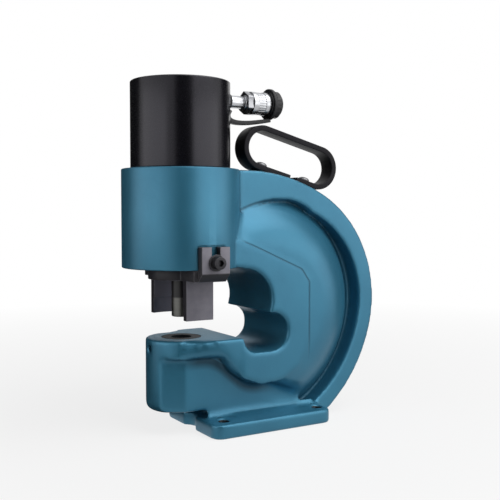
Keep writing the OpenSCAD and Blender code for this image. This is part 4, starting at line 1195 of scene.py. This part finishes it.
def swung(bm, edges, centre):
    """Bends a ring of edges half round a centre about the Y axis, and gives its new place."""
    verts = list({vert for edge in edges for vert in edge.verts})
    made = bmesh.ops.spin(
        bm, geom=verts + edges, cent=centre, axis=(0, 1, 0), dvec=(0, 0, 0), angle=math.pi, steps=bend_steps)
    return [part for part in made["geom_last"] if isinstance(part, bmesh.types.BMEdge)]


def on_handle(bm, share):
    """Moves a piece made on the Z axis onto the top of a foot of the handle, at that share of its length."""
    bmesh.ops.translate(bm, vec=(handle_length * share, 0, band_t - handle_radius), verts=bm.verts)
    return sloped(bm)


def sloped(bm):
    """Turns a piece from the handle's own frame into the frame of the whole part."""
    bmesh.ops.rotate(bm, matrix=Matrix.Rotation(handle_slope, 3, "Y"), verts=bm.verts)
    bmesh.ops.translate(bm, vec=handle_bend, verts=bm.verts)
    return bm


def handle_screw():
    """A button-head screw on its washer, with a key socket."""
    screw = soften(turned([
        (0, band_t - handle_screw_l), (handle_screw_radius, band_t - handle_screw_l),
        (handle_screw_radius, handle_washer_t), (handle_head_radius, handle_washer_t),
        (handle_head_radius, handle_washer_t + handle_head_wall),
        (handle_head_radius * shoulder_radius_share, handle_washer_t + handle_head_h * shoulder_h_share),
        (handle_head_radius / 2, handle_washer_t + handle_head_h), (0, handle_washer_t + handle_head_h)],
        segments=48), machined_edge / 2)
    top = handle_washer_t + handle_head_h
    return combined(screw, key_socket(grub_key_radius, top - handle_key_depth, top + cut_overrun))


half_w = (handle_high.y - handle_low.y) / 2
gap_start_x = handle_length * gap_start_share
handle_bm = bmesh.new()
corners = [
    handle_bm.verts.new((gap_start_x, side * half_w, level - handle_radius))
    for side, level in ((-1, 0), (1, 0), (1, band_t), (-1, band_t))]
section = [handle_bm.edges.new(pair) for pair in zip(corners, corners[1:] + corners[:1])]
section = pushed(handle_bm, section, (-gap_start_x, 0, 0))
section = swung(handle_bm, section, (0, 0, 0))
section = pushed(handle_bm, section, (handle_length, 0, 0))
section = swung(handle_bm, section, (handle_length, 0, 0))
section = pushed(handle_bm, section, (-handle_length * (1 - gap_end_share), 0, 0))
bmesh.ops.holes_fill(handle_bm, edges=[edge for edge in handle_bm.edges if edge.is_boundary], sides=4)
bmesh.ops.recalc_face_normals(handle_bm, faces=handle_bm.faces)
soften(handle_bm, band_edge, 3)
sloped(handle_bm)
for share in screw_shares:
    screw_hole = rod(handle_screw_radius + seat_clearance, -band_t - cut_overrun, cut_overrun, 48)
    handle_bm = combined(handle_bm, on_handle(screw_hole, share))
handle_black = black_finish(
    "handle_black", (0.0140, 0.0134, 0.0152), (0.028, 0.027, 0.030), gloss=0.45, speck=0.8 * mm, shine=0.12)
hand_over("carry_strap", handle_bm, "frame", handle_black, "handle_black", "carry_handle")
washer_pieces = [
    on_handle(
        soften(
            ring(handle_washer_radius, handle_screw_radius + seat_clearance, 0, handle_washer_t, 48),
            handle_washer_t / 5),
        share)
    for share in screw_shares]
hand_over("handle_discs", gathered(*washer_pieces), "frame", black_oxide, "black_oxide", "handle_washers")
screw_pieces = [on_handle(handle_screw(), share) for share in screw_shares]
dull_zinc = bare_metal("dull_zinc", (0.26, 0.26, 0.27), gloss=0.42)
hand_over("handle_buttons", gathered(*screw_pieces), "frame", dull_zinc, "zinc_plate", "handle_screws")
